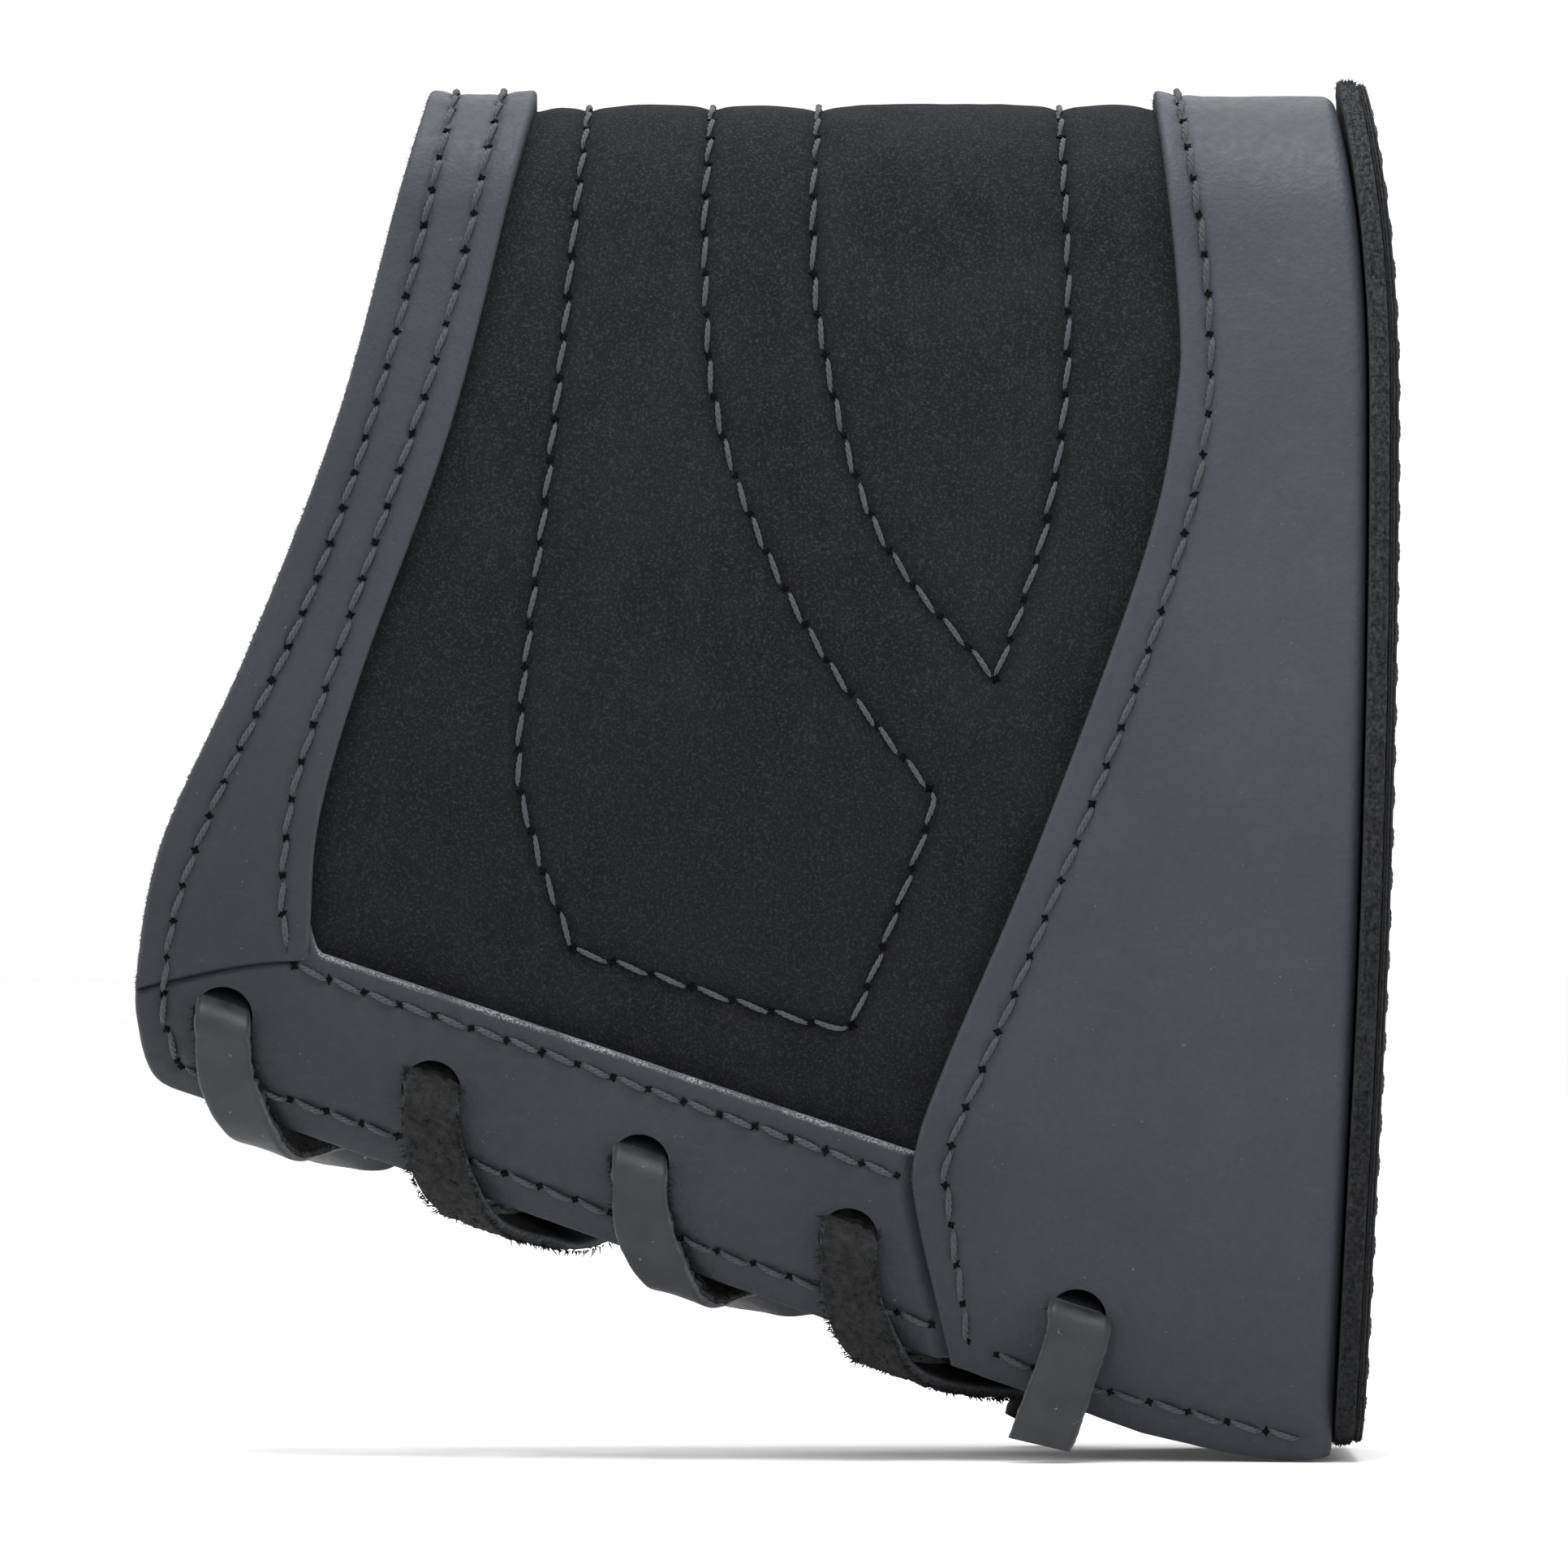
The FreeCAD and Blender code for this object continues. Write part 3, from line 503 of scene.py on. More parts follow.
def front_band():
    """The bound mouth of the sleeve, from one lace band over the comb to the other."""
    x, s = lay_out(front_x, window_x, girth_of(seam_z, 0.6), 34, 420)
    top = H_OUT + 0.12 * np.cos(np.linspace(0, 1, x.shape[1]) * 2 * math.pi)[None, :]
    d = edge_distance(x, s)
    corner = np.clip((x + 95.0) / 4, 0, 1) * np.clip((np.abs(s) - girth(x, -12.0)) / 4, 0, 1)
    outer, edge = leather_face(x, s, ["band_edge", "band_window"], top, lift=0.22, seed=11, rim=d)
    low = np.clip(1.4 - (girth(x, seam_z(x)) + 0.6 - np.abs(s)), 0, 1.4) / 1.4
    flush = H_OUT + 0.02 - 0.1 * (1 - corner)
    outer = np.where((low > 0) & (corner > 0), outer * (1 - corner * low) + flush * corner * low, outer)
    inner = np.full(x.shape, H_TRIM - 0.15)
    return shell("front_band_leather", x, s, outer, inner, edge * (1 - 0.9 * (low > 0)))


def lace_band(side, name):
    """The flap's facing: it carries four of the lace holes and tucks in under both bands."""
    right = lambda z: panel_x(z) + 3.5
    high = lambda x: np.where(x < -89.5, girth(x, seam_z(x) + 2.9), girth(x, window_z(x)))
    low = girth_of(belly_z)
    x, s = lay_out(front_x, right, low, 170, 40, high=high)
    z = wrap(x, s, H_OUT)[..., 2]
    rows = ["low_near", "high_near", "band_edge", "band_window"]
    outer, edge = leather_face(x, s, rows, H_OUT, lift=0.05, seed=21)
    under_band = np.clip((girth(x, seam_z(x)) + 1.3 - s) / 1.3, 0, 1)
    under_band *= np.clip((-89.5 - x) / 2.5, 0, 1)
    under_panel = np.clip((x - panel_x(z) + 1.4) / 1.4, 0, 1)
    dip = np.maximum(under_band, under_panel)
    outer = outer * (1 - dip) + np.minimum(outer, H_TRIM + 0.35) * dip
    piece = shell(name, x, s * -side, outer, np.full(x.shape, H_TRIM - 0.1), edge)
    # Wear and painted highlight: a narrow line along the band's top edge, which faces the top light.
    top_edge = np.exp(-((s - girth(x, window_z(x))) / 0.55) ** 2) * (x > -89.4) * (z > belly_z(x) + 3)
    give(piece, "worn_and_highlit", np.concatenate([top_edge.ravel(), top_edge.ravel()]))
    return piece


def rear_panel():
    """The rear of the sleeve, laid over the suede and the lace bands and turned in at the butt."""
    roll = 1.5
    right = lambda z: butt_x(z) - roll - 0.25
    x, s = lay_out(panel_x, right, girth_of(belly_z), 100, 360)
    z = wrap(x, np.abs(s), H_OUT)[..., 2]
    outline = np.stack([x[:, 0], s[:, 0]], -1)
    rim = np.minimum(np.abs(np.abs(s) - girth(x, belly_z(x))), distance(x, s, outline[::3]))
    outer, edge = leather_face(x, s, ["panel", "hem_near", "hem_far"], H_OUT, lift=0.3, seed=31, rim=rim)
    outer = outer - 0.35 * np.exp(-(s / 34) ** 4) * np.clip((x - panel_x(z)) / 5, 0, 1)
    turn = np.linspace(0, math.pi / 2, 8)[1:]
    last_x, last_h = x[:, -1:], outer[:, -1:]
    x_turn = last_x + roll * np.sin(turn)[None, :]
    h_turn = last_h - roll * (1 - np.cos(turn))[None, :]
    drop = np.array([0.9, 2.0, 3.4])[None, :]
    x_in = np.repeat(x_turn[:, -1:], 3, 1) + 0.1
    h_in = h_turn[:, -1:] - drop
    xx = np.concatenate([x, x_turn, x_in], 1)
    ss = np.concatenate([s, np.repeat(s[:, -1:], 10, 1)], 1)
    out = np.concatenate([outer, h_turn, h_in], 1)
    stop, under = last_x + roll - 1.1, H_TRIM - 0.25
    x_inner = np.concatenate([x, np.minimum(x_turn, stop), np.repeat(stop, 3, 1)], 1)
    inner = np.concatenate([np.full(x.shape, under), np.minimum(h_turn - 1.0, under), h_in], 1)
    edge = np.concatenate([edge, np.zeros((x.shape[0], 10))], 1)
    return shell("rear_panel_leather", xx, ss, out, inner, edge, x_inner)


def punch(piece, holes):
    """Cuts round lace holes, given as (x, side), through a layer."""
    cutters = []
    for hx, side in holes:
        phi = float(phi_at(hx, hole_z(hx), H_OUT / 2))
        a, b = (surface(hx, phi, h, side) * MM for h in (-3.0, H_OUT + 3.0))
        depth = float(np.linalg.norm(b - a))
        bpy.ops.mesh.primitive_cylinder_add(vertices=40, radius=HOLE_R * MM, depth=depth)
        cutter = bpy.context.object
        cutter.location = Vector((a + b) / 2)
        cutter.rotation_mode = "QUATERNION"
        cutter.rotation_quaternion = Vector(b - a).to_track_quat("Z", "Y")
        cutters.append(cutter)
    for cutter in cutters:
        cut = piece.modifiers.new("hole", "BOOLEAN")
        cut.operation, cut.object, cut.solver = "DIFFERENCE", cutter, "EXACT"
    bpy.context.view_layer.update()
    done = bpy.data.meshes.new_from_object(piece.evaluated_get(bpy.context.evaluated_depsgraph_get()))
    piece.modifiers.clear()
    old, piece.data = piece.data, done
    bpy.data.meshes.remove(old)
    for cutter in cutters:
        bpy.data.objects.remove(cutter, do_unlink=True)
    piece.data.set_sharp_from_angle(angle=math.radians(50))


def inner_layer(name, h_low, h_high, inset, waves=0.0):
    """A layer under the bands: the whole sleeve between two heights, its edges drawn in by inset."""
    left = lambda z: front_x(z) + inset
    right = lambda z: butt_x(z) - 1.6
    x, s = lay_out(left, right, girth_of(belly_z, -inset), 70, 300)
    d = edge_distance(x, s)
    inner = h_low + waves * ripple(x, s, 6, 41) + rounded(d, 0.25)
    high = h_high(x, s) if callable(h_high) else np.full(x.shape, h_high)
    return shell(name, x, s, high - rounded(d, 0.2), inner, np.exp(-(d / 0.5) ** 2))


def under_trim(x, s):
    """The suede's height: full under the bands and the rear panel, and low where the quilt lies on it."""
    z = wrap(x, np.abs(s), H_OUT)[..., 2]
    rim = np.minimum(x - window_x(z), np.minimum(panel_x(z) - x, (girth(x, window_z(x)) - np.abs(s))))
    return H_TRIM - 0.06 - 0.75 * np.clip((rim + 1.0) / 1.5, 0, 1)


# ---------------------------------------------------------------- thread
STITCH_RINGS, STITCH_SLANT = 11, math.radians(7)


def thread(name, row, gap, top, thick):
    """Three-ply stitches: each rises out of one needle hole, lies along the seam and dives into the next."""
    way, pitch = [], pitch_of(row)
    t = np.linspace(0, 1, STITCH_RINGS)
    for line in LINES[row]:
        length = length_of(line)
        count = max(1, round(length / pitch))
        step = length / count
        jitter = rng.normal(0, 0.03, (count, 2))
        start = (np.arange(count)[:, None] + gap / 2 / pitch + jitter[:, :1]) * step
        span = step * (1 - gap / pitch)
        at = walk(line, (start + span * t[None, :]).ravel()).reshape(count, STITCH_RINGS, 2)
        head = unit(at[:, -1] - at[:, 0])
        across = np.stack([-head[:, 1], head[:, 0]], -1)
        tilt = math.tan(STITCH_SLANT) * span * (t - 0.5)
        way.append(at + across[:, None, :] * (tilt[None, :, None] + jitter[:, 1:, None]))
    at = np.concatenate(way)
    rise = 0.62 * np.minimum(1, np.sin(math.pi * t) ** 0.55 * 1.12)
    lift = top - 0.42 + rise + rng.normal(0, 0.02, (len(at), 1))
    centre = wrap(at[..., 0], at[..., 1], lift)
    above = wrap(at[..., 0], at[..., 1], lift + 1.0) - centre
    return plies(name, centre, above, t, thick, thick)


def plies(name, centre, above, t, radius, ply):
    """Three twisted plies round each row of centre points. above points off the surface."""
    rings, sides, turns = len(t), 6, 1.6
    ahead = unit(np.gradient(centre, axis=1))
    aside = unit(np.cross(ahead, above))
    upward = np.cross(aside, ahead)
    phase = rng.uniform(0, 2 * math.pi, (len(centre), 1, 1))
    twist = 2 * math.pi * (np.arange(3)[None, :, None] / 3 + turns * t[None, None, :]) + phase
    spread = radius * (0.75 + 0.25 * np.sin(math.pi * t))[None, None, :, None]
    turned = np.cos(twist)[..., None] * aside[:, None] + np.sin(twist)[..., None] * upward[:, None]
    middle = centre[:, None] + spread * turned
    round_ply = 2 * math.pi * np.arange(sides) / sides
    thin = ply * np.clip(np.sin(math.pi * (0.04 + 0.92 * t)), 0.35, 1) ** 0.4
    c, d = np.cos(round_ply)[:, None], np.sin(round_ply)[:, None]
    ring = c * aside[:, None, :, None, :] + d * upward[:, None, :, None, :]
    points = middle[..., None, :] + thin[None, None, :, None, None] * ring
    tubes = points.shape[0] * 3
    points = points.reshape(-1, 3)
    one = grid_faces(rings, sides, True)
    faces = (one[None] + (np.arange(tubes) * rings * sides)[:, None, None]).reshape(-1, 4)
    starts = np.arange(tubes) * rings * sides
    caps = []
    for a, b, c, d in ((0, 1, 2, 3), (0, 3, 4, 5)):
        caps.append(starts[:, None] + np.array([d, c, b, a]))
        caps.append(starts[:, None] + (rings - 1) * sides + np.array([a, b, c, d]))
    return new_mesh(name, points, np.concatenate([faces[:, ::-1], *caps]))


def needle_holes(name, row, top):
    """Star-shaped mouths of the needle holes, sunk in the leather and near-black with painted shadow."""
    centres = np.concatenate(HOLES[row])
    count, corners = len(centres), 8
    turn = rng.uniform(0, math.pi, (count, 1))
    angle = 2 * math.pi * np.arange(corners) / corners
    points_out = np.where(np.arange(corners) % 2, 0.62, 1.35)
    reach = 0.42 * (0.7 + 0.5 * rng.random((count, corners))) * points_out
    rim = centres[:, None, :] + np.stack([np.cos(angle + turn), np.sin(angle + turn)], -1) * reach[..., None]
    outer = wrap(rim[..., 0], rim[..., 1], top - 0.16)
    well = centres[:, None, :] + 0.35 * (rim - centres[:, None, :])
    inner = wrap(well[..., 0], well[..., 1], top - 0.75)
    points = np.concatenate([outer, inner], 1).reshape(-1, 3)
    k = np.arange(corners)
    walls = np.stack([k, (k + 1) % corners, (k + 1) % corners + corners, k + corners], -1)
    lid = np.array([[0, 1, 2, 3], [0, 3, 4, 5], [0, 5, 6, 7]])
    one = np.concatenate([walls, lid[:, ::-1], lid + corners])
    faces = (one[None] + (np.arange(count) * 2 * corners)[:, None, None]).reshape(-1, 4)
    return new_mesh(name, points, faces)


# ---------------------------------------------------------------- the lace
WAY_STEPS, THONG_STEP, FIBRES_PER_MM = 7, 0.25, 30


def eased(way, times):
    """The way with its inner points averaged with their neighbours, so many times."""
    for _ in range(times):
        way[1:-1] = (way[:-2] + 2 * way[1:-1] + way[2:]) / 4
    return way


BEND_POINTS = 9
UP = np.array([[0, 0, 1.0]])


def over_lip(x, phi, side):
    """The thong's quarter turn out of a hole and down over its lip."""
    t = np.linspace(0, math.pi / 2, BEND_POINTS)[:, None]
    return surface(x, phi, H_OUT + LACE_OUT * np.sin(t[:, 0]), side) - UP * LACE_OUT * (1 - np.cos(t))


def pass_hole(x, side):
    """Up behind a hole, in a loop that fills its mouth, then out through it and over its lip."""
    phi = phi_at(x, hole_z(x) + LACE_UP, H_OUT / 2)
    turn = np.linspace(-0.1 * math.pi, 0.62 * math.pi, BEND_POINTS)
    tight = 0.45 if x == HOLE_X[-1] else 1.0  # at the last hole the loop leaves room for the insert
    rise = tight * (1.0 + 1.15 * np.sin(turn))
    inside = surface(x, phi, -0.2 - 1.15 * tight * (1 + np.cos(turn)), side) + UP * rise[:, None]
    return np.concatenate([inside, over_lip(x, phi, side)])


def edge_point(x, side, h, out, up):
    """A point beside the flap's cut edge."""
    return point_at(x, edge_z(x), h, side) + np.array([0, side * out, up])


def crossing(x0, x1, side, lift, sag):
    """The thong's given points: down and round one flap's edge, over the gap, up inside the other."""
    z0, z1 = hole_z(x0), hole_z(x1)
    xm = (x0 + x1) / 2
    middle = np.array([xm, 0, edge_z(xm) - sag + lift])
    outside = [point_at(x0 + 0.1, z0 - 2.6, H_OUT + LACE_OUT - 0.3, side),
               point_at(x0 + 0.1, z0 - 5.4, H_OUT + LACE_OUT - 0.5, side),
               point_at(x0 + 0.9, z0 - 8.2, H_OUT + LACE_OUT - 0.4, side),
               edge_point(x0 + 2.8, side, H_OUT, 0.9, -1.3),
               edge_point(x0 + 5.4, side, H_OUT / 2, 0.4, -2.4)]
    inside = [edge_point(x1 - 5.0, -side, 0, -1.5, 0.9),
              point_at(x1 - 3.0, z1 - 6.8, -LACE_IN, -side),
              point_at(x1 - 1.2, z1 - 4.2, -LACE_IN, -side),
              point_at(x1 - 0.2, z1 - 1.6, -LACE_IN - 0.9, -side)]
    return [*outside, middle, *inside]


def strand(side, lift):
    """One end of the lace, from a first hole to a last one, crossing side to side."""
    way = pass_hole(HOLE_X[0], side)
    for i, (x0, x1) in enumerate(zip(HOLE_X, HOLE_X[1:])):
        entry = pass_hole(x1, -side)
        points = [way[-1], *crossing(x0, x1, side, lift, (-0.5, 0.5)[i % 2]), entry[0]]
        way = np.concatenate([way, eased(curve(points, WAY_STEPS), 12)[1:-1], entry])
        side = -side
    return way


def lace_way():
    """The whole thong, from the near tail's hole through all ten to the far tail's."""
    a, b = strand(NEAR, CROSS_GAP), strand(FAR, -CROSS_GAP)
    z = hole_z(HOLE_X[0])
    edge = [edge_point(HOLE_X[0], s, 0, -2.2, 1.0) for s in (NEAR, FAR)]
    low = [point_at(HOLE_X[0], z - 5.0, -LACE_IN - 0.4, s) for s in (NEAR, FAR)]
    middle = np.array([HOLE_X[0], 0, edge[0][2] - 0.4])
    bar = curve([a[0], low[0], edge[0], middle, edge[1], low[1], b[0]], WAY_STEPS)
    limit = abs(point_at(HOLE_X[-1], hole_z(HOLE_X[-1]) + LACE_UP, H_OUT + 0.2)[1])

    def cut(way):
        inside = (np.abs(way[:, 1]) < limit) | (way[:, 0] < HOLE_X[-1] - 1)
        return way[:np.nonzero(inside)[0][-1] + 1]

    return eased(np.concatenate([cut(a)[::-1], bar[1:-1], cut(b)]), 4)


def tail_widths(way, run):
    """A tail's width: drawn in at its hole, full once it is outside."""
    return LACE_IN_HOLE_W + (LACE_W + 0.4 - LACE_IN_HOLE_W) * np.clip((run - 0.6) / 1.2, 0, 1)


def frames_of(way, flip):
    """Along, across and through directions of a flat thong. The flesh side faces through."""
    along = unit(np.gradient(way, axis=0))
    level = np.stack([np.ones(len(way)), way[:, 1] * 0.0025, np.full(len(way), BELLY_SLOPE)], -1)
    across = unit(level - along * (along * level).sum(1, keepdims=True))
    across = -across if flip else across
    return along, across, np.cross(along, across)


def thong(name, way, widths, seed, slant=0.0, flip=False):
    """A flat leather thong with a smooth crowned side, a rough flesh side and soft edges."""
    whole = length_along(way)[-1]
    way = eased(walk(way, np.linspace(0, whole, int(whole / THONG_STEP))), 2)
    along, across, through = frames_of(way, flip)
    local = np.random.default_rng(seed)
    run = length_along(way)
    # The section: from one edge over the flesh side to the other edge, and back over the smooth side.
    flat = np.concatenate([[-1, -0.97, -0.88], np.linspace(-0.78, 0.78, 17), [0.88, 0.97, 1]])
    side_t = LACE_T / 2 * np.sqrt(np.clip(1 - np.clip((np.abs(flat) - 0.8) / 0.2, 0, 1) ** 2.4, 0.0, 1))
    a = np.concatenate([flat, flat[-2:0:-1]])
    b = np.concatenate([side_t, -side_t[-2:0:-1]])
    rough = np.concatenate([np.ones(len(flat)), np.zeros(len(flat) - 2)])
    rough[[0, len(flat) - 1]] = 0.5
    w = widths(way, run) / 2
    wobble = 0.03 * np.sin(run * 0.6 + seed) + 0.02 * np.sin(run * 1.9 + 2 * seed)
    fray = local.normal(0, 1, (len(way), len(a)))
    for axis in (0, 1):
        fray = 0.55 * fray + 0.3 * np.roll(fray, 1, axis) + 0.3 * np.roll(fray, -1, axis)
    out = a[None, :] * (w + wobble)[:, None] + 0.16 * fray * (rough * (np.abs(a) > 0.9))[None, :]
    deep = b[None, :] * np.ones((len(way), 1)) + 0.21 * fray * rough[None, :]
    shift = slant * a[None, :] * np.clip((run - run[-1] + 5) / 5, 0, 1)[:, None]
    points = (way[:, None] + out[..., None] * across[:, None] + deep[..., None] * through[:, None]
              + shift[..., None] * along[:, None])
    rows, cols = points.shape[:2]
    faces = grid_faces(rows, cols, True)
    half = len(flat)
    top = np.arange(half)
    low = np.concatenate([[0], np.arange(cols - 1, half - 1, -1), [half - 1]])
    quad = np.stack([top[:-1], top[1:], low[1:], low[:-1]], -1)[1:-1]
    strips = [quad[:, ::-1], quad + (rows - 1) * cols]
    piece = new_mesh(name, points.reshape(-1, 3), np.concatenate([faces, *strips]))
    give(piece, "rough", np.tile(rough, rows))
    give(piece, "edge", np.tile(np.exp(-((1 - np.abs(a)) / 0.07) ** 2), rows))
    return piece


def fringe(name, way, widths, seed):
    """Loose flesh fibres along both edges and over the rough side of a thong."""
    _, across, through = frames_of(way, False)
    local = np.random.default_rng(seed)
    run = length_along(way)
    count = int(run[-1] * FIBRES_PER_MM)
    at = local.uniform(0, run[-1], count)
    pick = lambda v: np.stack([np.interp(at, run, column) for column in v.T], -1)
    half = np.interp(at, run, widths(way, run) / 2)
    rim = local.random(count) < 0.45
    u = np.where(rim, np.sign(local.uniform(-1, 1, count)) * 0.97, local.uniform(-0.92, 0.92, count))
    root = pick(way) + (u * half)[:, None] * pick(across) + (LACE_T * 0.42) * pick(through)
    out = np.where(rim, np.sign(u) * 1.0, 0.0)[:, None] * pick(across)
    head = out + np.where(rim, 0.2, 0.4)[:, None] * pick(through) + 0.6 * local.normal(0, 1, (count, 3))
    lengths = np.where(rim, local.uniform(0.2, 0.85, count), local.uniform(0.15, 0.5, count))
    hidden = np.abs(root[:, 1]) < np.abs(point_at(root[:, 0], root[:, 2], 0)[:, 1])
    keep = ~(hidden & (root[:, 2] > edge_z(root[:, 0]) + 1.0))
    return fibres(name, root[keep], head[keep], lengths[keep], 0.085, seed)


def lace_widths(way, run):
    """The lace's width: drawn in near every hole it passes."""
    mouths = np.concatenate([surface(x, phi_at(x, hole_z(x), 0), h, s)[None]
                             for x in HOLE_X for s in (NEAR, FAR) for h in (0, H_OUT)])
    near = np.linalg.norm(way[:, None] - mouths[None], axis=2).min(1)
    return LACE_IN_HOLE_W + (LACE_W - LACE_IN_HOLE_W) * np.clip((near - 3) / 3, 0, 1)


def tail_way(side):
    """The loose end: out of the last hole, over its lip and down to a slanted cut."""
    x = HOLE_X[-1]
    phi = phi_at(x, hole_z(x) + LACE_UP, H_OUT / 2)
    bend = over_lip(x, phi, side)
    start = surface(x, phi, H_OUT - 1.0, side)[None]
    drop = np.linspace(0.6, 11.2, 22)[:, None]
    fall = bend[-1] + drop * np.array([[-0.34, 0, -1.0]])
    way = np.concatenate([start, bend, fall])
    way[:-1, 0] += 0.25 * np.sin(np.linspace(0, math.pi, len(way) - 1))
    return eased(way, 4)


# ---------------------------------------------------------------- butt layers and insert
def block_outline(h, bottom, radius, at=PLATE_X):
    """Points (y, z) round a block with the section's shape at one station and rounded lower corners."""
    (comb_r, _, comb_z), _, _ = section(np.array(at))
    phi = np.linspace(0, PHI_COMB, 60)
    crown = np.stack([(comb_r + h) * np.sin(phi), comb_z + (comb_r + h) * np.cos(phi)], -1)
    z = np.linspace(crown[-1, 1], bottom, 300)[1:]
    half = float(np.abs(point_at(at, bottom + radius, h)[1]))
    drop = np.clip((bottom + radius - z) / radius, 0, 1)
    wide = np.abs(point_at(at, z, h)[:, 1])
    corner = half - radius + radius * np.sqrt(1 - drop ** 2)
    wide = np.where(z < bottom + radius, np.minimum(wide, corner), wide)
    right = np.concatenate([crown, np.stack([wide, z], -1), [[0, bottom]]])
    right = walk(right, np.linspace(0, length_along(right)[-1], 220))
    return np.concatenate([right, right[::-1][1:-1] * [-1, 1]])


def outline_normal(outline):
    """Unit vectors out of a closed outline, one at each of its points."""
    step = np.roll(outline, -1, 0) - np.roll(outline, 1, 0)
    normal = unit(np.stack([-step[:, 1], step[:, 0]], -1))
    return normal * np.sign((normal * (outline - outline.mean(0))).sum())


def block(name, outline, front, back, soft, fuzz=0.0, bulge=0.0, seed=5, rings=14):
    """A slab between two faces x = front(z) and x = back(z), with softened and perhaps fuzzy edges."""
    local = np.random.default_rng(seed)
    normal, n = outline_normal(outline), len(outline)
    bend = np.linspace(0, math.pi / 2, 5)
    rim = [(0, soft * (1 - math.sin(t)), -soft + soft * math.cos(t)) for t in bend[::-1]]
    rim += [(f, 0, 0) for f in (0.25, 0.5, 0.75)]
    rim += [(1, -soft * (1 - math.sin(t)), -soft + soft * math.cos(t)) for t in bend]
    rows, edge = [], []

    def row(yz, part, shift, wild, mark):
        a, b = front(yz[:, 1]), back(yz[:, 1])
        rows.append(np.column_stack([a + (b - a) * part + shift + wild, yz]))
        edge.append(np.full(len(yz), mark))

    spine = np.column_stack([np.zeros(n), np.clip(outline[:, 1], outline[:, 1].min() + 14, COMB_Z - 10)])
    inner = outline - normal * soft
    steps = np.linspace(0, 1, rings + 1)[1:] ** 1.3
    for f in steps[::-1]:
        row(inner * (1 - f) + spine * f, 0, 0, 0, 0.0)
    for part, shift, out in rim:
        rough = fuzz * local.normal(0, 1, n)
        rough = 0.65 * rough + 0.35 * np.roll(rough, 1)
        row(outline + normal * (out + rough)[:, None], part, shift, 0.4 * rough, 1.0)
    for f in steps:
        row(inner * (1 - f) + spine * f, 1, bulge * (1 - (1 - f) ** 3), 0, 0.0)
    piece = new_mesh(name, np.concatenate(rows), grid_faces(len(rows), n, True))
    give(piece, "edge", np.concatenate(edge))
    work = bmesh.new()
    work.from_mesh(piece.data)
    bmesh.ops.remove_doubles(work, verts=work.verts, dist=0.00002)
    bmesh.ops.holes_fill(work, edges=[e for e in work.edges if len(e.link_faces) == 1])
    bmesh.ops.recalc_face_normals(work, faces=work.faces)
    for face in work.faces:
        face.smooth = True
    work.to_mesh(piece.data)
    work.free()
    return piece


def flat_thread(name):
    """Three-ply stitches round the butt face."""
    outline = block_outline(PLATE_H - 2.2, -66.1, 7.0)
    closed = np.concatenate([outline, outline[:1]])
    count = round(length_of(closed) / PITCH["panel"])
    step = length_of(closed) / count
    t = np.linspace(0, 1, STITCH_RINGS)
    at = (np.arange(count)[:, None] + 0.1 + 0.8 * t[None, :]) * step
    yz = walk(closed, at.ravel()).reshape(count, STITCH_RINGS, 2)
    face = butt_x(yz[..., 1]) + 2.9
    lift = -0.4 + 0.42 * np.minimum(1, np.sin(math.pi * t) ** 0.55 * 1.12)
    centre = np.concatenate([(face + lift)[..., None], yz], -1)
    return plies(name, centre, np.broadcast_to([1.0, 0, 0], centre.shape), t, 0.13, 0.12)


# ---------------------------------------------------------------- loose fibres
def fibres(name, roots, heads, lengths, thick=0.035, seed=9):
    """Thin tapering hairs, each bent a little, from root points in mm along head directions."""
    local = np.random.default_rng(seed)
    count = len(roots)
    heads = unit(heads)
    bend = local.normal(0, 0.45, (count, 3))
    helper = np.where(np.abs(heads[:, :1]) < 0.8, [[1.0, 0, 0]], [[0, 1.0, 0]])
    aside = unit(np.cross(heads, helper))
    other = np.cross(heads, aside)
    rings = []
    for f, r in ((0.0, 1.0), (0.5, 0.8)):
        middle = roots + (heads * f + bend * f * f * 0.6) * lengths[:, None]
        for k in range(3):
            a = 2 * math.pi * k / 3
            rings.append(middle + thick * r * (math.cos(a) * aside + math.sin(a) * other))
    rings.append(roots + (heads + bend * 0.6) * lengths[:, None])
    points = np.stack(rings, 1).reshape(-1, 3)
    one = [[0, 2, 1]]
    for k in range(3):
        after = (k + 1) % 3
        one += [[k, after, after + 3], [k, after + 3, k + 3], [k + 3, after + 3, 6]]
    faces = (np.array(one)[None] + (np.arange(count) * 7)[:, None, None]).reshape(-1, 3)
    return new_mesh(name, points, faces)


def scatter(piece, pick, count, seed):
    """Random points on the faces that pick keeps, with their normals, in mm."""
    local = np.random.default_rng(seed)
    mesh = piece.data
    n = len(mesh.polygons)
    centre, normal, area = np.empty(n * 3), np.empty(n * 3), np.empty(n)
    mesh.polygons.foreach_get("center", centre)
    mesh.polygons.foreach_get("normal", normal)
    mesh.polygons.foreach_get("area", area)
    centre, normal = centre.reshape(-1, 3) / MM, normal.reshape(-1, 3)
    keep = np.nonzero(pick(centre, normal))[0]
    chosen = local.choice(keep, count, p=area[keep] / area[keep].sum())
    spread = np.sqrt(area[chosen])[:, None] / MM * local.uniform(-0.5, 0.5, (count, 3))
    spread -= normal[chosen] * (spread * normal[chosen]).sum(1, keepdims=True)
    return centre[chosen] + spread, normal[chosen]


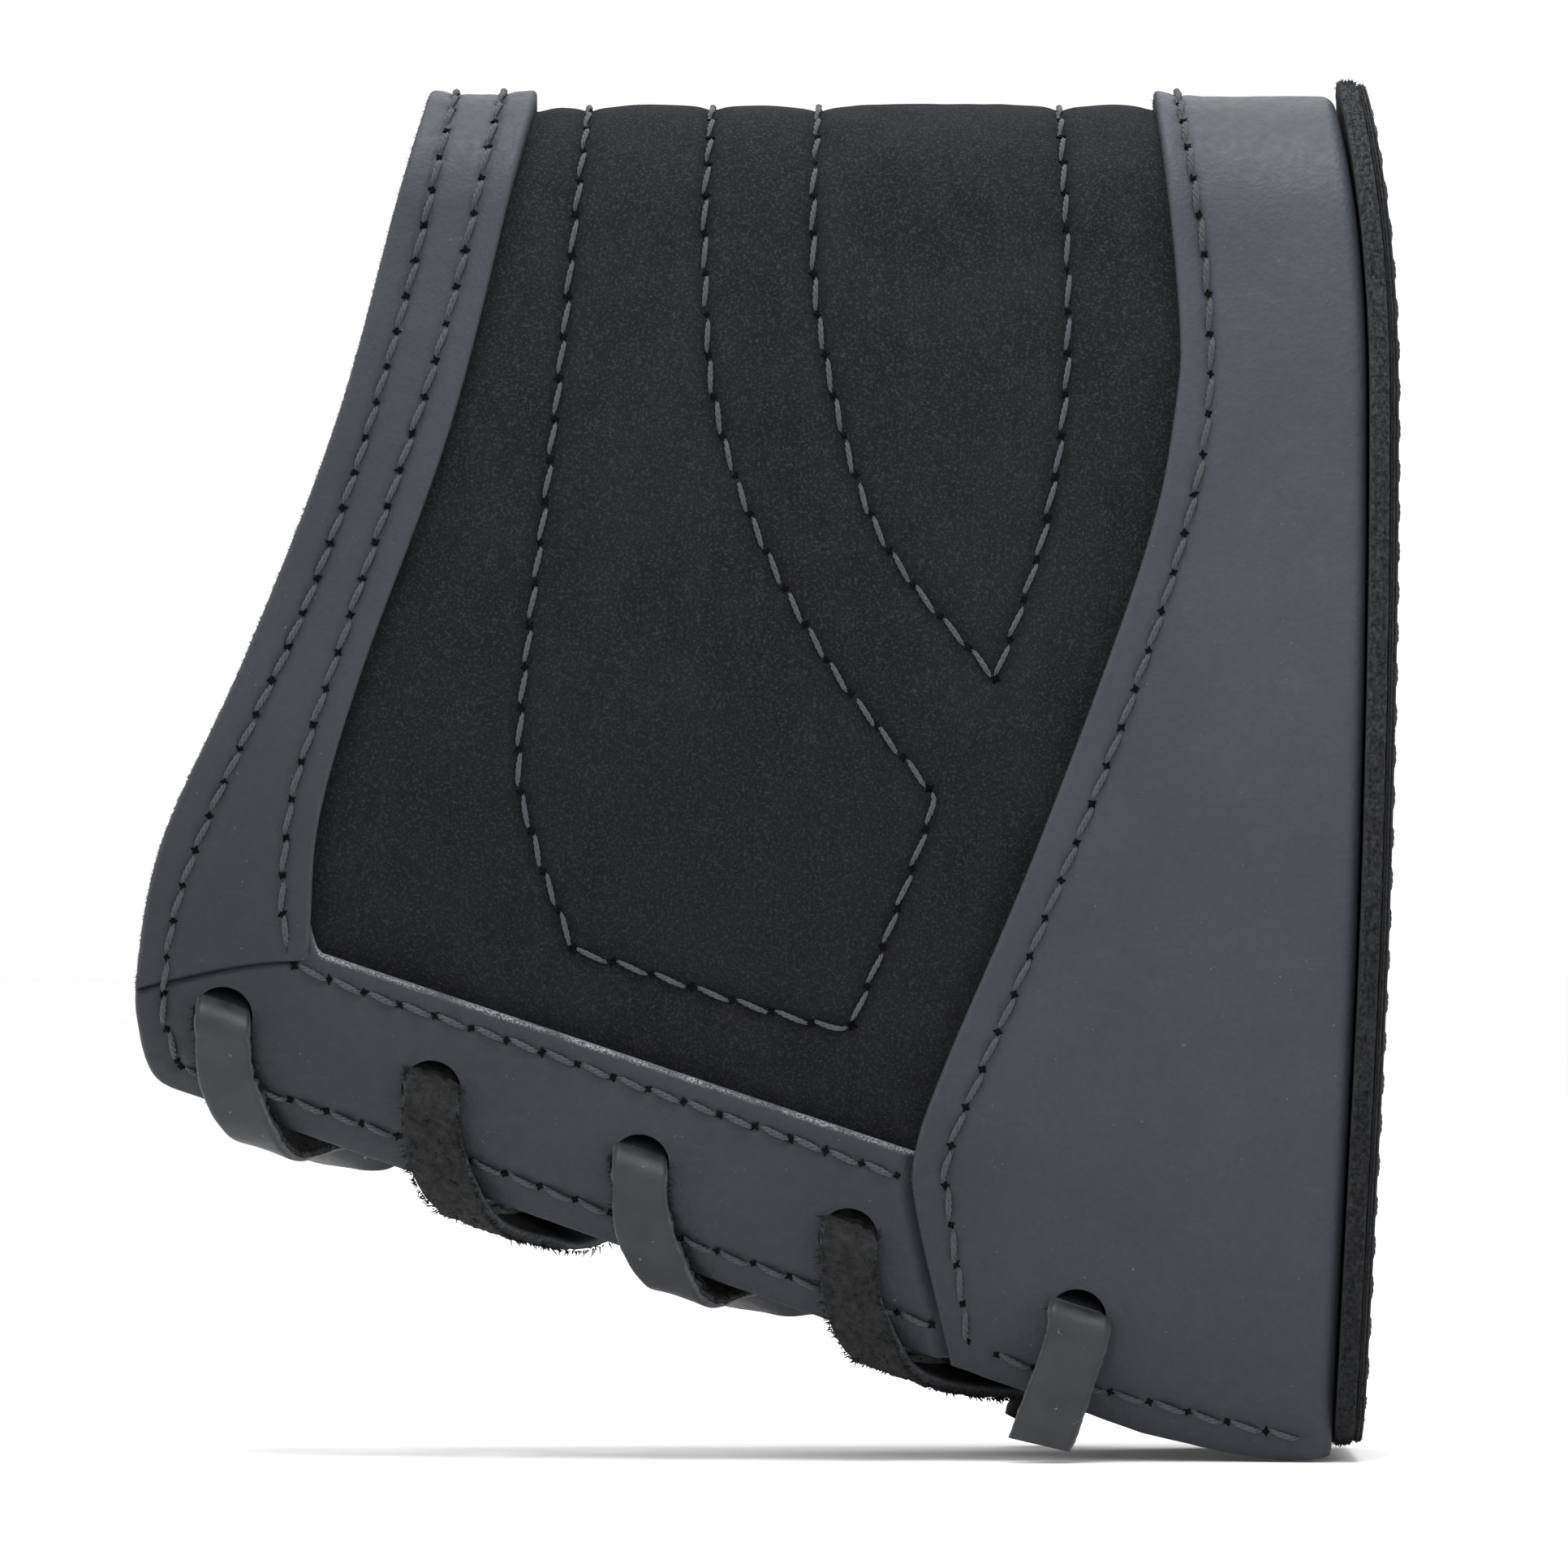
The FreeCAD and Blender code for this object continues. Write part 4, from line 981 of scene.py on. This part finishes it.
# ---------------------------------------------------------------- materials
class Look:
    """A node material under construction."""

    def __init__(self, name, **sockets):
        self.material = bpy.data.materials.new(name)
        self.material.use_nodes = True
        self.tree = self.material.node_tree
        self.shader = self.tree.nodes["Principled BSDF"]
        self.place = self.add("ShaderNodeTexCoord").outputs["Object"]
        for socket, value in sockets.items():
            self.shader.inputs[socket.replace("_", " ")].default_value = value

    def add(self, kind, **values):
        node = self.tree.nodes.new(kind)
        for key, value in values.items():
            setattr(node, key, value)
        return node

    def put(self, socket, value):
        if isinstance(value, bpy.types.NodeSocket):
            self.tree.links.new(value, socket)
        else:
            socket.default_value = value

    def noise(self, per_mm, detail=3.0, rough=0.55, distortion=0.0, stretch=None):
        """Noise whose bumps are about 1 / per_mm across."""
        node = self.add("ShaderNodeTexNoise")
        place = self.place
        if stretch:
            mapping = self.add("ShaderNodeMapping")
            self.put(mapping.inputs["Vector"], place)
            mapping.inputs["Rotation"].default_value = stretch[0]
            mapping.inputs["Scale"].default_value = stretch[1]
            place = mapping.outputs["Vector"]
        self.put(node.inputs["Vector"], place)
        node.inputs["Scale"].default_value = per_mm * 1000
        node.inputs["Detail"].default_value = detail
        node.inputs["Roughness"].default_value = rough
        node.inputs["Distortion"].default_value = distortion
        return node.outputs["Fac"]

    def cells(self, per_mm, feature="F1", randomness=1.0):
        node = self.add("ShaderNodeTexVoronoi", feature=feature)
        self.put(node.inputs["Vector"], self.place)
        node.inputs["Scale"].default_value = per_mm * 1000
        node.inputs["Randomness"].default_value = randomness
        return node.outputs["Distance"]

    def painted_belly_shade(self, least, up, back):
        """Painted shade: a factor of 1 at the rear of the comb, falling towards the belly and the front."""
        apart = self.add("ShaderNodeSeparateXYZ")
        self.put(apart.inputs[0], self.place)
        high = self.between(apart.outputs["Z"], -0.060, 0.065, 0, up)
        rear = self.between(apart.outputs["X"], -0.105, 0.020, least, least + back)
        return self.math("ADD", high, rear)

    def painted_shaded(self, tone, least, up, back):
        """A tone darkened by the painted shade factor towards the belly and the front."""
        shade = self.painted_belly_shade(least, up, back)
        return self.mix(1.0, tone, self.mix(shade, (0.0, 0.0, 0.0), (1.0, 1.0, 1.0)), "MULTIPLY")

    def mark(self, name):
        """A value stored on the mesh's points."""
        return self.add("ShaderNodeAttribute", attribute_name=name).outputs["Fac"]

    def math(self, kind, a, b=0.5, clamp=False):
        node = self.add("ShaderNodeMath", operation=kind, use_clamp=clamp)
        self.put(node.inputs[0], a)
        self.put(node.inputs[1], b)
        return node.outputs[0]

    def between(self, value, low, high, to_low=0.0, to_high=1.0):
        node = self.add("ShaderNodeMapRange", clamp=True)
        for socket, v in zip(node.inputs[:5], (value, low, high, to_low, to_high)):
            self.put(socket, v)
        return node.outputs[0]

    def mix(self, fac, a, b, blend="MIX"):
        node = self.add("ShaderNodeMix", data_type="RGBA", blend_type=blend)
        self.put(node.inputs[0], fac)
        for socket, value in ((node.inputs[6], a), (node.inputs[7], b)):
            self.put(socket, (*value, 1.0) if isinstance(value, tuple) else value)
        return node.outputs[2]

    def bump(self, height, distance_mm, strength=1.0, below=None):
        node = self.add("ShaderNodeBump")
        node.inputs["Strength"].default_value = strength
        node.inputs["Distance"].default_value = distance_mm * MM
        self.put(node.inputs["Height"], height)
        if below is not None:
            self.put(node.inputs["Normal"], below)
        return node.outputs["Normal"]

    def finish(self, colour, rough=None, normal=None):
        self.put(self.shader.inputs["Base Color"], colour)
        if rough is not None:
            self.put(self.shader.inputs["Roughness"], rough)
        if normal is not None:
            self.put(self.shader.inputs["Normal"], normal)
        return self.material


def leather_look(name, dark, light, cut=(0.050, 0.053, 0.058)):
    """Full-grain leather: fine pebbled grain, faint creases, scuffs, dust, and raw cut edges, with painted
    shade darker towards the belly and the front.
    """
    look = Look(name, Specular_IOR_Level=0.26)
    wide = look.noise(0.045, 3)
    tone = look.mix(look.between(wide, 0.35, 0.68), dark, light)
    deep = tuple(v * 0.62 for v in dark)
    tone = look.mix(look.between(look.noise(1.6, 4), 0.35, 0.75, 0, 0.35), tone, deep)
    scuff = look.noise(0.16, 5, 0.65, stretch=((0, 0.5, 0), (1.0, 1.0, 4.0)))
    tone = look.mix(look.between(scuff, 0.60, 0.76, 0, 0.3), tone, tuple(v * 1.5 for v in light))
    dust = look.between(look.noise(2.6, 1.5), 0.745, 0.80)
    # Painted shade: darker towards the belly and the front, lightest at the rear of the comb.
    tone = look.painted_shaded(tone, 0.24, 0.48, 0.33)
    tone = look.mix(look.math("MULTIPLY", dust, 0.35), tone, (0.22, 0.23, 0.24))
    edge = look.between(look.mark("edge"), 0.35, 0.95)
    fluff = look.noise(5.0, 3)
    tone = look.mix(look.math("MULTIPLY", edge, look.between(fluff, 0.3, 0.7, 0.35, 1.0)), tone, cut)
    # Wear and painted highlight: lighter along the lace band's top edge, broken up by noise.
    worn_and_highlit = look.math("MULTIPLY", look.between(look.mark("worn_and_highlit"), 0.3, 0.9), look.between(fluff, 0.42, 0.62))
    worn_and_highlit = look.math("MULTIPLY", worn_and_highlit, look.between(look.noise(0.22, 3), 0.35, 0.6, 0.15, 0.8))
    tone = look.mix(worn_and_highlit, tone, (0.34, 0.35, 0.37))
    grain = look.cells(2.6, "SMOOTH_F1")
    pores = look.noise(5.5, 3)
    height = look.math("ADD", grain, look.math("MULTIPLY", pores, 0.6))
    height = look.math("ADD", height, look.math("MULTIPLY", look.noise(0.55, 4, 0.6), 0.8))
    normal = look.bump(height, 0.13, 0.42)
    rough = look.between(look.noise(0.9, 4), 0.25, 0.8, 0.50, 0.68)
    rough = look.math("ADD", rough, look.math("MULTIPLY", edge, 0.25), clamp=True)
    return look.finish(tone, rough, normal)


def suede_look():
    """Near-black suede: short nap lying in patches, lighter where it was brushed, with painted shade in the
    quilt grooves and towards the belly and the front.
    """
    look = Look("suede_nap", Roughness=1.0, Specular_IOR_Level=0.08, Sheen_Weight=0.03, Sheen_Roughness=0.5)
    look.shader.inputs["Sheen Tint"].default_value = (0.72, 0.76, 0.84, 1)
    patch = look.noise(0.08, 4, 0.6, 0.6)
    brushed = look.noise(0.42, 4, 0.65, stretch=((0, 0.35, 0), (1.0, 1.0, 0.32)))
    speck = look.noise(3.6, 4, 0.8)
    tone = look.mix(look.between(patch, 0.36, 0.66), (0.0091, 0.0096, 0.0108), (0.0140, 0.0148, 0.0169))
    tone = look.mix(look.between(brushed, 0.45, 0.72, 0, 0.4), tone, (0.0195, 0.0205, 0.0231))
    tone = look.mix(look.between(speck, 0.50, 0.66), tone, (0.046, 0.048, 0.053))
    glint = look.between(look.noise(4.2, 1), 0.76, 0.80, 0, 0.6)
    tone = look.mix(glint, tone, (0.10, 0.095, 0.08))
    # Painted shade: darker along the grooves of the quilt seams.
    tone = look.mix(look.between(look.mark("groove"), 0.3, 1.0, 0, 0.4), tone, (0.0050, 0.0054, 0.006))
    # Painted shade: darker towards the belly and the front, lighter over the comb.
    tone = look.painted_shaded(tone, 0.48, 0.52, 0.08)
    height = look.math("ADD", look.noise(4.5, 4, 0.8), look.math("MULTIPLY", brushed, 0.5))
    return look.finish(tone, None, look.bump(height, 0.34, 1.0))


def thread_look(name, dark, light):
    look = Look(name, Roughness=0.72, Specular_IOR_Level=0.3, Sheen_Weight=0.15)
    tone = look.mix(look.between(look.noise(3.0, 3), 0.3, 0.7), dark, light)
    return look.finish(tone, None, look.bump(look.noise(9.0, 3), 0.05, 0.6))


def lace_look():
    """The thong: satin on its smooth side, dark fluffy flesh on the other, pale along its edges."""
    look = Look("lace_thong", Specular_IOR_Level=0.32)
    smooth = look.between(look.noise(0.4, 4), 0.35, 0.7)
    smooth = look.mix(smooth, (0.0115, 0.0125, 0.0145), (0.020, 0.0215, 0.0245))
    smooth = look.mix(look.between(look.noise(1.3, 2), 0.72, 0.80, 0, 0.7), smooth, (0.3, 0.31, 0.32))
    flesh = look.between(look.noise(1.2, 5, 0.7), 0.35, 0.7)
    flesh = look.mix(flesh, (0.0055, 0.0058, 0.0062), (0.034, 0.0355, 0.038))
    rough = look.between(look.mark("rough"), 0.4, 0.6)
    tone = look.mix(rough, smooth, flesh)
    edge = look.between(look.mark("edge"), 0.3, 0.9)
    tone = look.mix(look.math("MULTIPLY", edge, look.between(look.noise(2.6, 3), 0.35, 0.65, 0.2, 0.9)), tone,
                    (0.075, 0.08, 0.087))
    low = look.bump(look.noise(2.2, 4), 0.05, 0.6)
    high = look.math("MULTIPLY", look.noise(1.7, 6, 0.8), rough)
    shine = look.math("ADD", look.between(look.noise(0.8, 3), 0.3, 0.7, 0.46, 0.6),
                      look.math("MULTIPLY", rough, 0.4), clamp=True)
    return look.finish(tone, shine, look.bump(high, 0.9, 1.0, low))


def felt_look(name, dark, light, sheen=0.3, low=1.0):
    look = Look(name, Roughness=0.95, Specular_IOR_Level=0.08, Sheen_Weight=sheen, Sheen_Roughness=0.5)
    tone = look.mix(look.between(look.noise(2.4, 5, 0.7), 0.35, 0.7), dark, light)
    # Painted shade: lighter at the top, darker towards the belly; low is the darkest factor, and low=1 leaves
    # the tone as it is.
    tone = look.painted_shaded(tone, low, 1 - low, 0)
    return look.finish(tone, None, look.bump(look.noise(3.5, 5, 0.8), 0.35, 0.9))


def knit_look():
    """The lining: fine knitted rows seen as small alternating loops."""
    look = Look("lining_knit_cloth", Roughness=0.95, Specular_IOR_Level=0.15, Sheen_Weight=0.35)
    loops = look.cells(1.1, "F1", 0.35)
    tone = look.mix(look.between(loops, 0.2, 0.75), (0.040, 0.041, 0.044), (0.016, 0.017, 0.018))
    tone = look.mix(look.between(look.noise(0.08, 3), 0.35, 0.7, 0, 0.4), tone, (0.055, 0.056, 0.06))
    height = look.math("SUBTRACT", 1.0, loops)
    return look.finish(tone, None, look.bump(height, 0.35, 0.8))


def rubber_look():
    look = Look("insert_black_rubber", Specular_IOR_Level=0.4)
    tone = look.between(look.noise(0.3, 5), 0.35, 0.7)
    tone = look.mix(tone, (0.012, 0.012, 0.0125), (0.026, 0.026, 0.027))
    return look.finish(tone, look.between(look.noise(1.5, 3), 0.3, 0.7, 0.55, 0.75),
                       look.bump(look.noise(3.0, 4), 0.08, 0.5))


def foam_look():
    look = Look("foam_sheet", Roughness=0.9, Specular_IOR_Level=0.2)
    tone = look.mix(look.between(look.cells(1.8), 0.2, 0.7), (0.10, 0.10, 0.103), (0.045, 0.045, 0.047))
    return look.finish(tone, None, look.bump(look.cells(1.8), 0.25, 0.7))


def hole_look():
    look = Look("needle_hole_shadow", Roughness=1.0, Specular_IOR_Level=0.05)
    tone = look.between(look.noise(5.0, 2), 0.35, 0.7)
    tone = look.mix(tone, (0.0015, 0.0015, 0.002), (0.006, 0.006, 0.007))
    return look.finish(tone, None, look.bump(look.noise(8.0, 2), 0.1, 0.5))


def floor_look():
    look = Look("plain_floor", Roughness=0.9, Specular_IOR_Level=0.1)
    tone = look.mix(look.between(look.noise(0.002, 2), 0.3, 0.7), (0.93, 0.93, 0.93), (0.95, 0.95, 0.95))
    return look.finish(tone)


# ---------------------------------------------------------------- build
LOOKS = {
    "leather": leather_look("slate_leather", (0.0365, 0.041, 0.050), (0.047, 0.053, 0.064)),
    "butt": leather_look("butt_leather", (0.020, 0.021, 0.024), (0.028, 0.030, 0.034),
                         (0.010, 0.0105, 0.0115)),
    "suede": suede_look(),
    "lace": lace_look(),
    "thread": thread_look("leather_seam_thread", (0.026, 0.028, 0.032), (0.050, 0.054, 0.061)),
    "quilt_thread": thread_look("quilt_seam_thread", (0.026, 0.030, 0.036), (0.058, 0.066, 0.078)),
    # The butt board felt gets painted shade down to 0.36 towards the belly.
    "felt": felt_look("butt_board_felt", (0.012, 0.0125, 0.0135), (0.080, 0.083, 0.090), 0.03, 0.36),
    "fluff": felt_look("loose_fibre", (0.030, 0.031, 0.034), (0.07, 0.073, 0.08), 0.05),
    "dark_fluff": felt_look("dark_loose_fibre", (0.006, 0.0062, 0.0068), (0.024, 0.025, 0.028), 0.03),
    "lining": knit_look(),
    "foam": foam_look(),
    "rubber": rubber_look(),
    "hole": hole_look(),
}


def dress(piece, look, body, slot, *nodes):
    """Gives a piece its material and body and hides the CAD nodes it stands for. Its slot is not used."""
    piece.data.materials.clear()
    piece.data.materials.append(LOOKS[look])
    if body:
        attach(piece, body)
    if nodes:
        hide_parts(*nodes)
    return piece


def fuzz(name, piece, pick, count, lengths, seed, look, slot, thick=0.05):
    """Short loose fibres on the faces that pick keeps."""
    root, up = scatter(piece, pick, count, seed)
    local = np.random.default_rng(seed + 1)
    hairs = fibres(name, root - 0.05 * up, up + local.normal(0, 0.6, root.shape),
                   local.uniform(*lengths, count), thick, seed + 2)
    return dress(hairs, look, "sleeve", slot)


BOTH = [(x, side) for x in HOLE_X for side in (NEAR, FAR)]

# Layers of the sleeve, from the inside out.
lining = inner_layer("lining_knit", 0.05, H_FOAM - 0.02, 0.4, waves=0.05)
punch(lining, BOTH)
dress(lining, "lining", "sleeve", "lining_felt", "lining")
foam = inner_layer("quilt_foam_sheet", H_FOAM, H_SUEDE - 0.02, 1.2)
punch(foam, BOTH)
dress(foam, "foam", "sleeve", "foam", "quilt_foam")
base = inner_layer("suede_under_trim", H_SUEDE, under_trim, 0.7)
punch(base, BOTH)
dress(base, "suede", "sleeve", "suede", "suede_panel")
quilt = suede_panel()
outward(quilt)
dress(quilt, "suede", "sleeve", "suede", "suede_panel")

# Smooth leather.
band = front_band()
dress(band, "leather", "sleeve", "smooth_leather", "front_band")
for side, word in ((NEAR, "near"), (FAR, "far")):
    flap = lace_band(side, word + "_lace_band_leather")
    punch(flap, [(x, side) for x in HOLE_X[:4]])
    dress(flap, "leather", "sleeve", "smooth_leather", word + "_lace_band")
rear = rear_panel()
punch(rear, [(HOLE_X[4], side) for side in (NEAR, FAR)])
dress(rear, "leather", "sleeve", "smooth_leather", "rear_panel")

fuzz("front_band_edge_fuzz", band, lambda c, n: (n[:, 0] < -0.75) & (c[:, 0] < front_x(c[:, 2]) + 1.0), 5000,
     (0.08, 0.32), 41, "fluff", "smooth_leather", 0.045)
fuzz("rear_panel_edge_fuzz", rear, lambda c, n: (n[:, 0] < -0.6) & (c[:, 0] < panel_x(c[:, 2]) + 1.0), 5000,
     (0.08, 0.26), 44, "fluff", "smooth_leather", 0.04)

# Butt layers and the insert.
backer = block("butt_backer_board", block_outline(PLATE_H, -68.3, 7.0), lambda z: butt_x(z),
               lambda z: butt_x(z) + 2.0, 0.5, fuzz=0.07)
dress(backer, "felt", "sleeve", "butt_felt", "butt_backer")
face = block("butt_face_leather", block_outline(PLATE_H - 0.3, -68.0, 7.0), lambda z: butt_x(z) + 2.03,
             lambda z: butt_x(z) + 2.9, 0.35, bulge=0.25, seed=6, rings=26)
dress(face, "butt", "sleeve", "smooth_leather", "butt_face")
fuzz("butt_board_fuzz", backer, lambda c, n: np.abs(n[:, 0]) < 0.7, 9000, (0.12, 0.42), 12,
     "felt", "butt_felt", 0.055)
fuzz("butt_face_edge_fuzz", face, lambda c, n: np.abs(n[:, 0]) < 0.6, 4500, (0.1, 0.34), 16, "felt",
     "smooth_leather")
insert = block("recoil_insert_rubber", block_outline(-0.4, -55.0, 8.0, at=-25.0), lambda z: 0 * z,
               lambda z: butt_x(z) - 1.83, 0.8, seed=7)
dress(insert, "rubber", "insert", "insert_rubber", "recoil_insert")

# The lace.
way = lace_way()
lace = thong("lace_leather_thong", way, lace_widths, 3)
dress(lace, "lace", "sleeve", "lace_leather", "lace")
dress(fringe("lace_flesh_fibres", way, lace_widths, 5), "dark_fluff", "sleeve", "lace_leather")
for side, word in ((NEAR, "near"), (FAR, "far")):
    hang = tail_way(side)
    tail = thong(word + "_lace_tail_leather", hang, tail_widths, 8 + side, slant=0.4, flip=side == NEAR)
    dress(tail, "lace", None, "lace_leather", word + "_lace_tail")
    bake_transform(tail)

# Thread.
SEAMS = [("front_band_edge", "band_edge", 0.75), ("front_band_window", "band_window", 0.8),
         ("rear_panel", "panel", 0.8), ("quilt_u", "quilt_u", 0.9), ("quilt_v", "quilt_v", 0.9)]
for word in ("near", "far"):
    SEAMS += [(word + "_flap_low", "low_" + word, 0.8), (word + "_flap_high", "high_" + word, 0.8),
              (word + "_hem", "hem_" + word, 0.8)]
for stem, row, gap in SEAMS:
    quilted = stem.startswith("quilt")
    look, slot_name = ("quilt_thread", "quilt_thread") if quilted else ("thread", "leather_thread")
    top, thick = (H_TRIM - 0.22, 0.145) if quilted else (H_OUT, 0.165)
    stitches = thread(stem + "_thread", row, gap, top, thick)
    dress(stitches, look, "sleeve", slot_name, stem.replace("flap", "lace_band") + "_stitches")
    dress(needle_holes(stem + "_needle_holes", row, top), "hole", "sleeve", slot_name)
dress(flat_thread("butt_seam_thread"), "thread", "sleeve", "leather_thread", "butt_seam_stitches")

# ---------------------------------------------------------------- floor, light and camera
low = min(corner.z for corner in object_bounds())
bpy.ops.mesh.primitive_plane_add(size=8, location=(0, 0, low - 0.0002))
floor = bpy.context.object
floor.name = "floor"
floor.data.materials.append(floor_look())
lights = []
for name, place, aim, size, power in (
        ("top", (-0.02, -0.12, 0.62), (-0.03, 0, 0.03), 0.42, 5.0),
        ("front", (-0.3, -1.1, 0.55), (-0.04, 0, 0.02), 0.6, 2.0),
        ("back", (0.1, 0.9, 0.8), (-0.04, 0, 0), 0.8, 2.5)):
    lamp = bpy.data.objects.new(name, bpy.data.lights.new(name, "AREA"))
    bpy.context.scene.collection.objects.link(lamp)
    lamp.data.size, lamp.data.energy = size, power
    lamp.location = place
    lamp.rotation_mode = "QUATERNION"
    lamp.rotation_quaternion = (Vector(place) - Vector(aim)).to_track_quat("Z", "Y")
    lights.append(lamp)
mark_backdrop(floor, *lights)

world = bpy.data.worlds.new("studio")
bpy.context.scene.world = world
world.use_nodes = True
world.node_tree.nodes["Background"].inputs["Color"].default_value = (1, 1, 1, 1)
world.node_tree.nodes["Background"].inputs["Strength"].default_value = 1.05
bpy.context.scene.view_settings.view_transform = "Standard"

DISTANCE = 1.6
camera = bpy.data.objects.new("camera", bpy.data.cameras.new("camera"))
bpy.context.scene.collection.objects.link(camera)
camera.location = (-0.04185, -DISTANCE - 0.012, -0.00172)
camera.rotation_euler = (math.pi / 2, 0, 0)
camera.data.sensor_width = 36
camera.data.lens = 36 * DISTANCE / 0.1584
camera.data.clip_start, camera.data.clip_end = 0.05, 20
bpy.context.scene.camera = camera
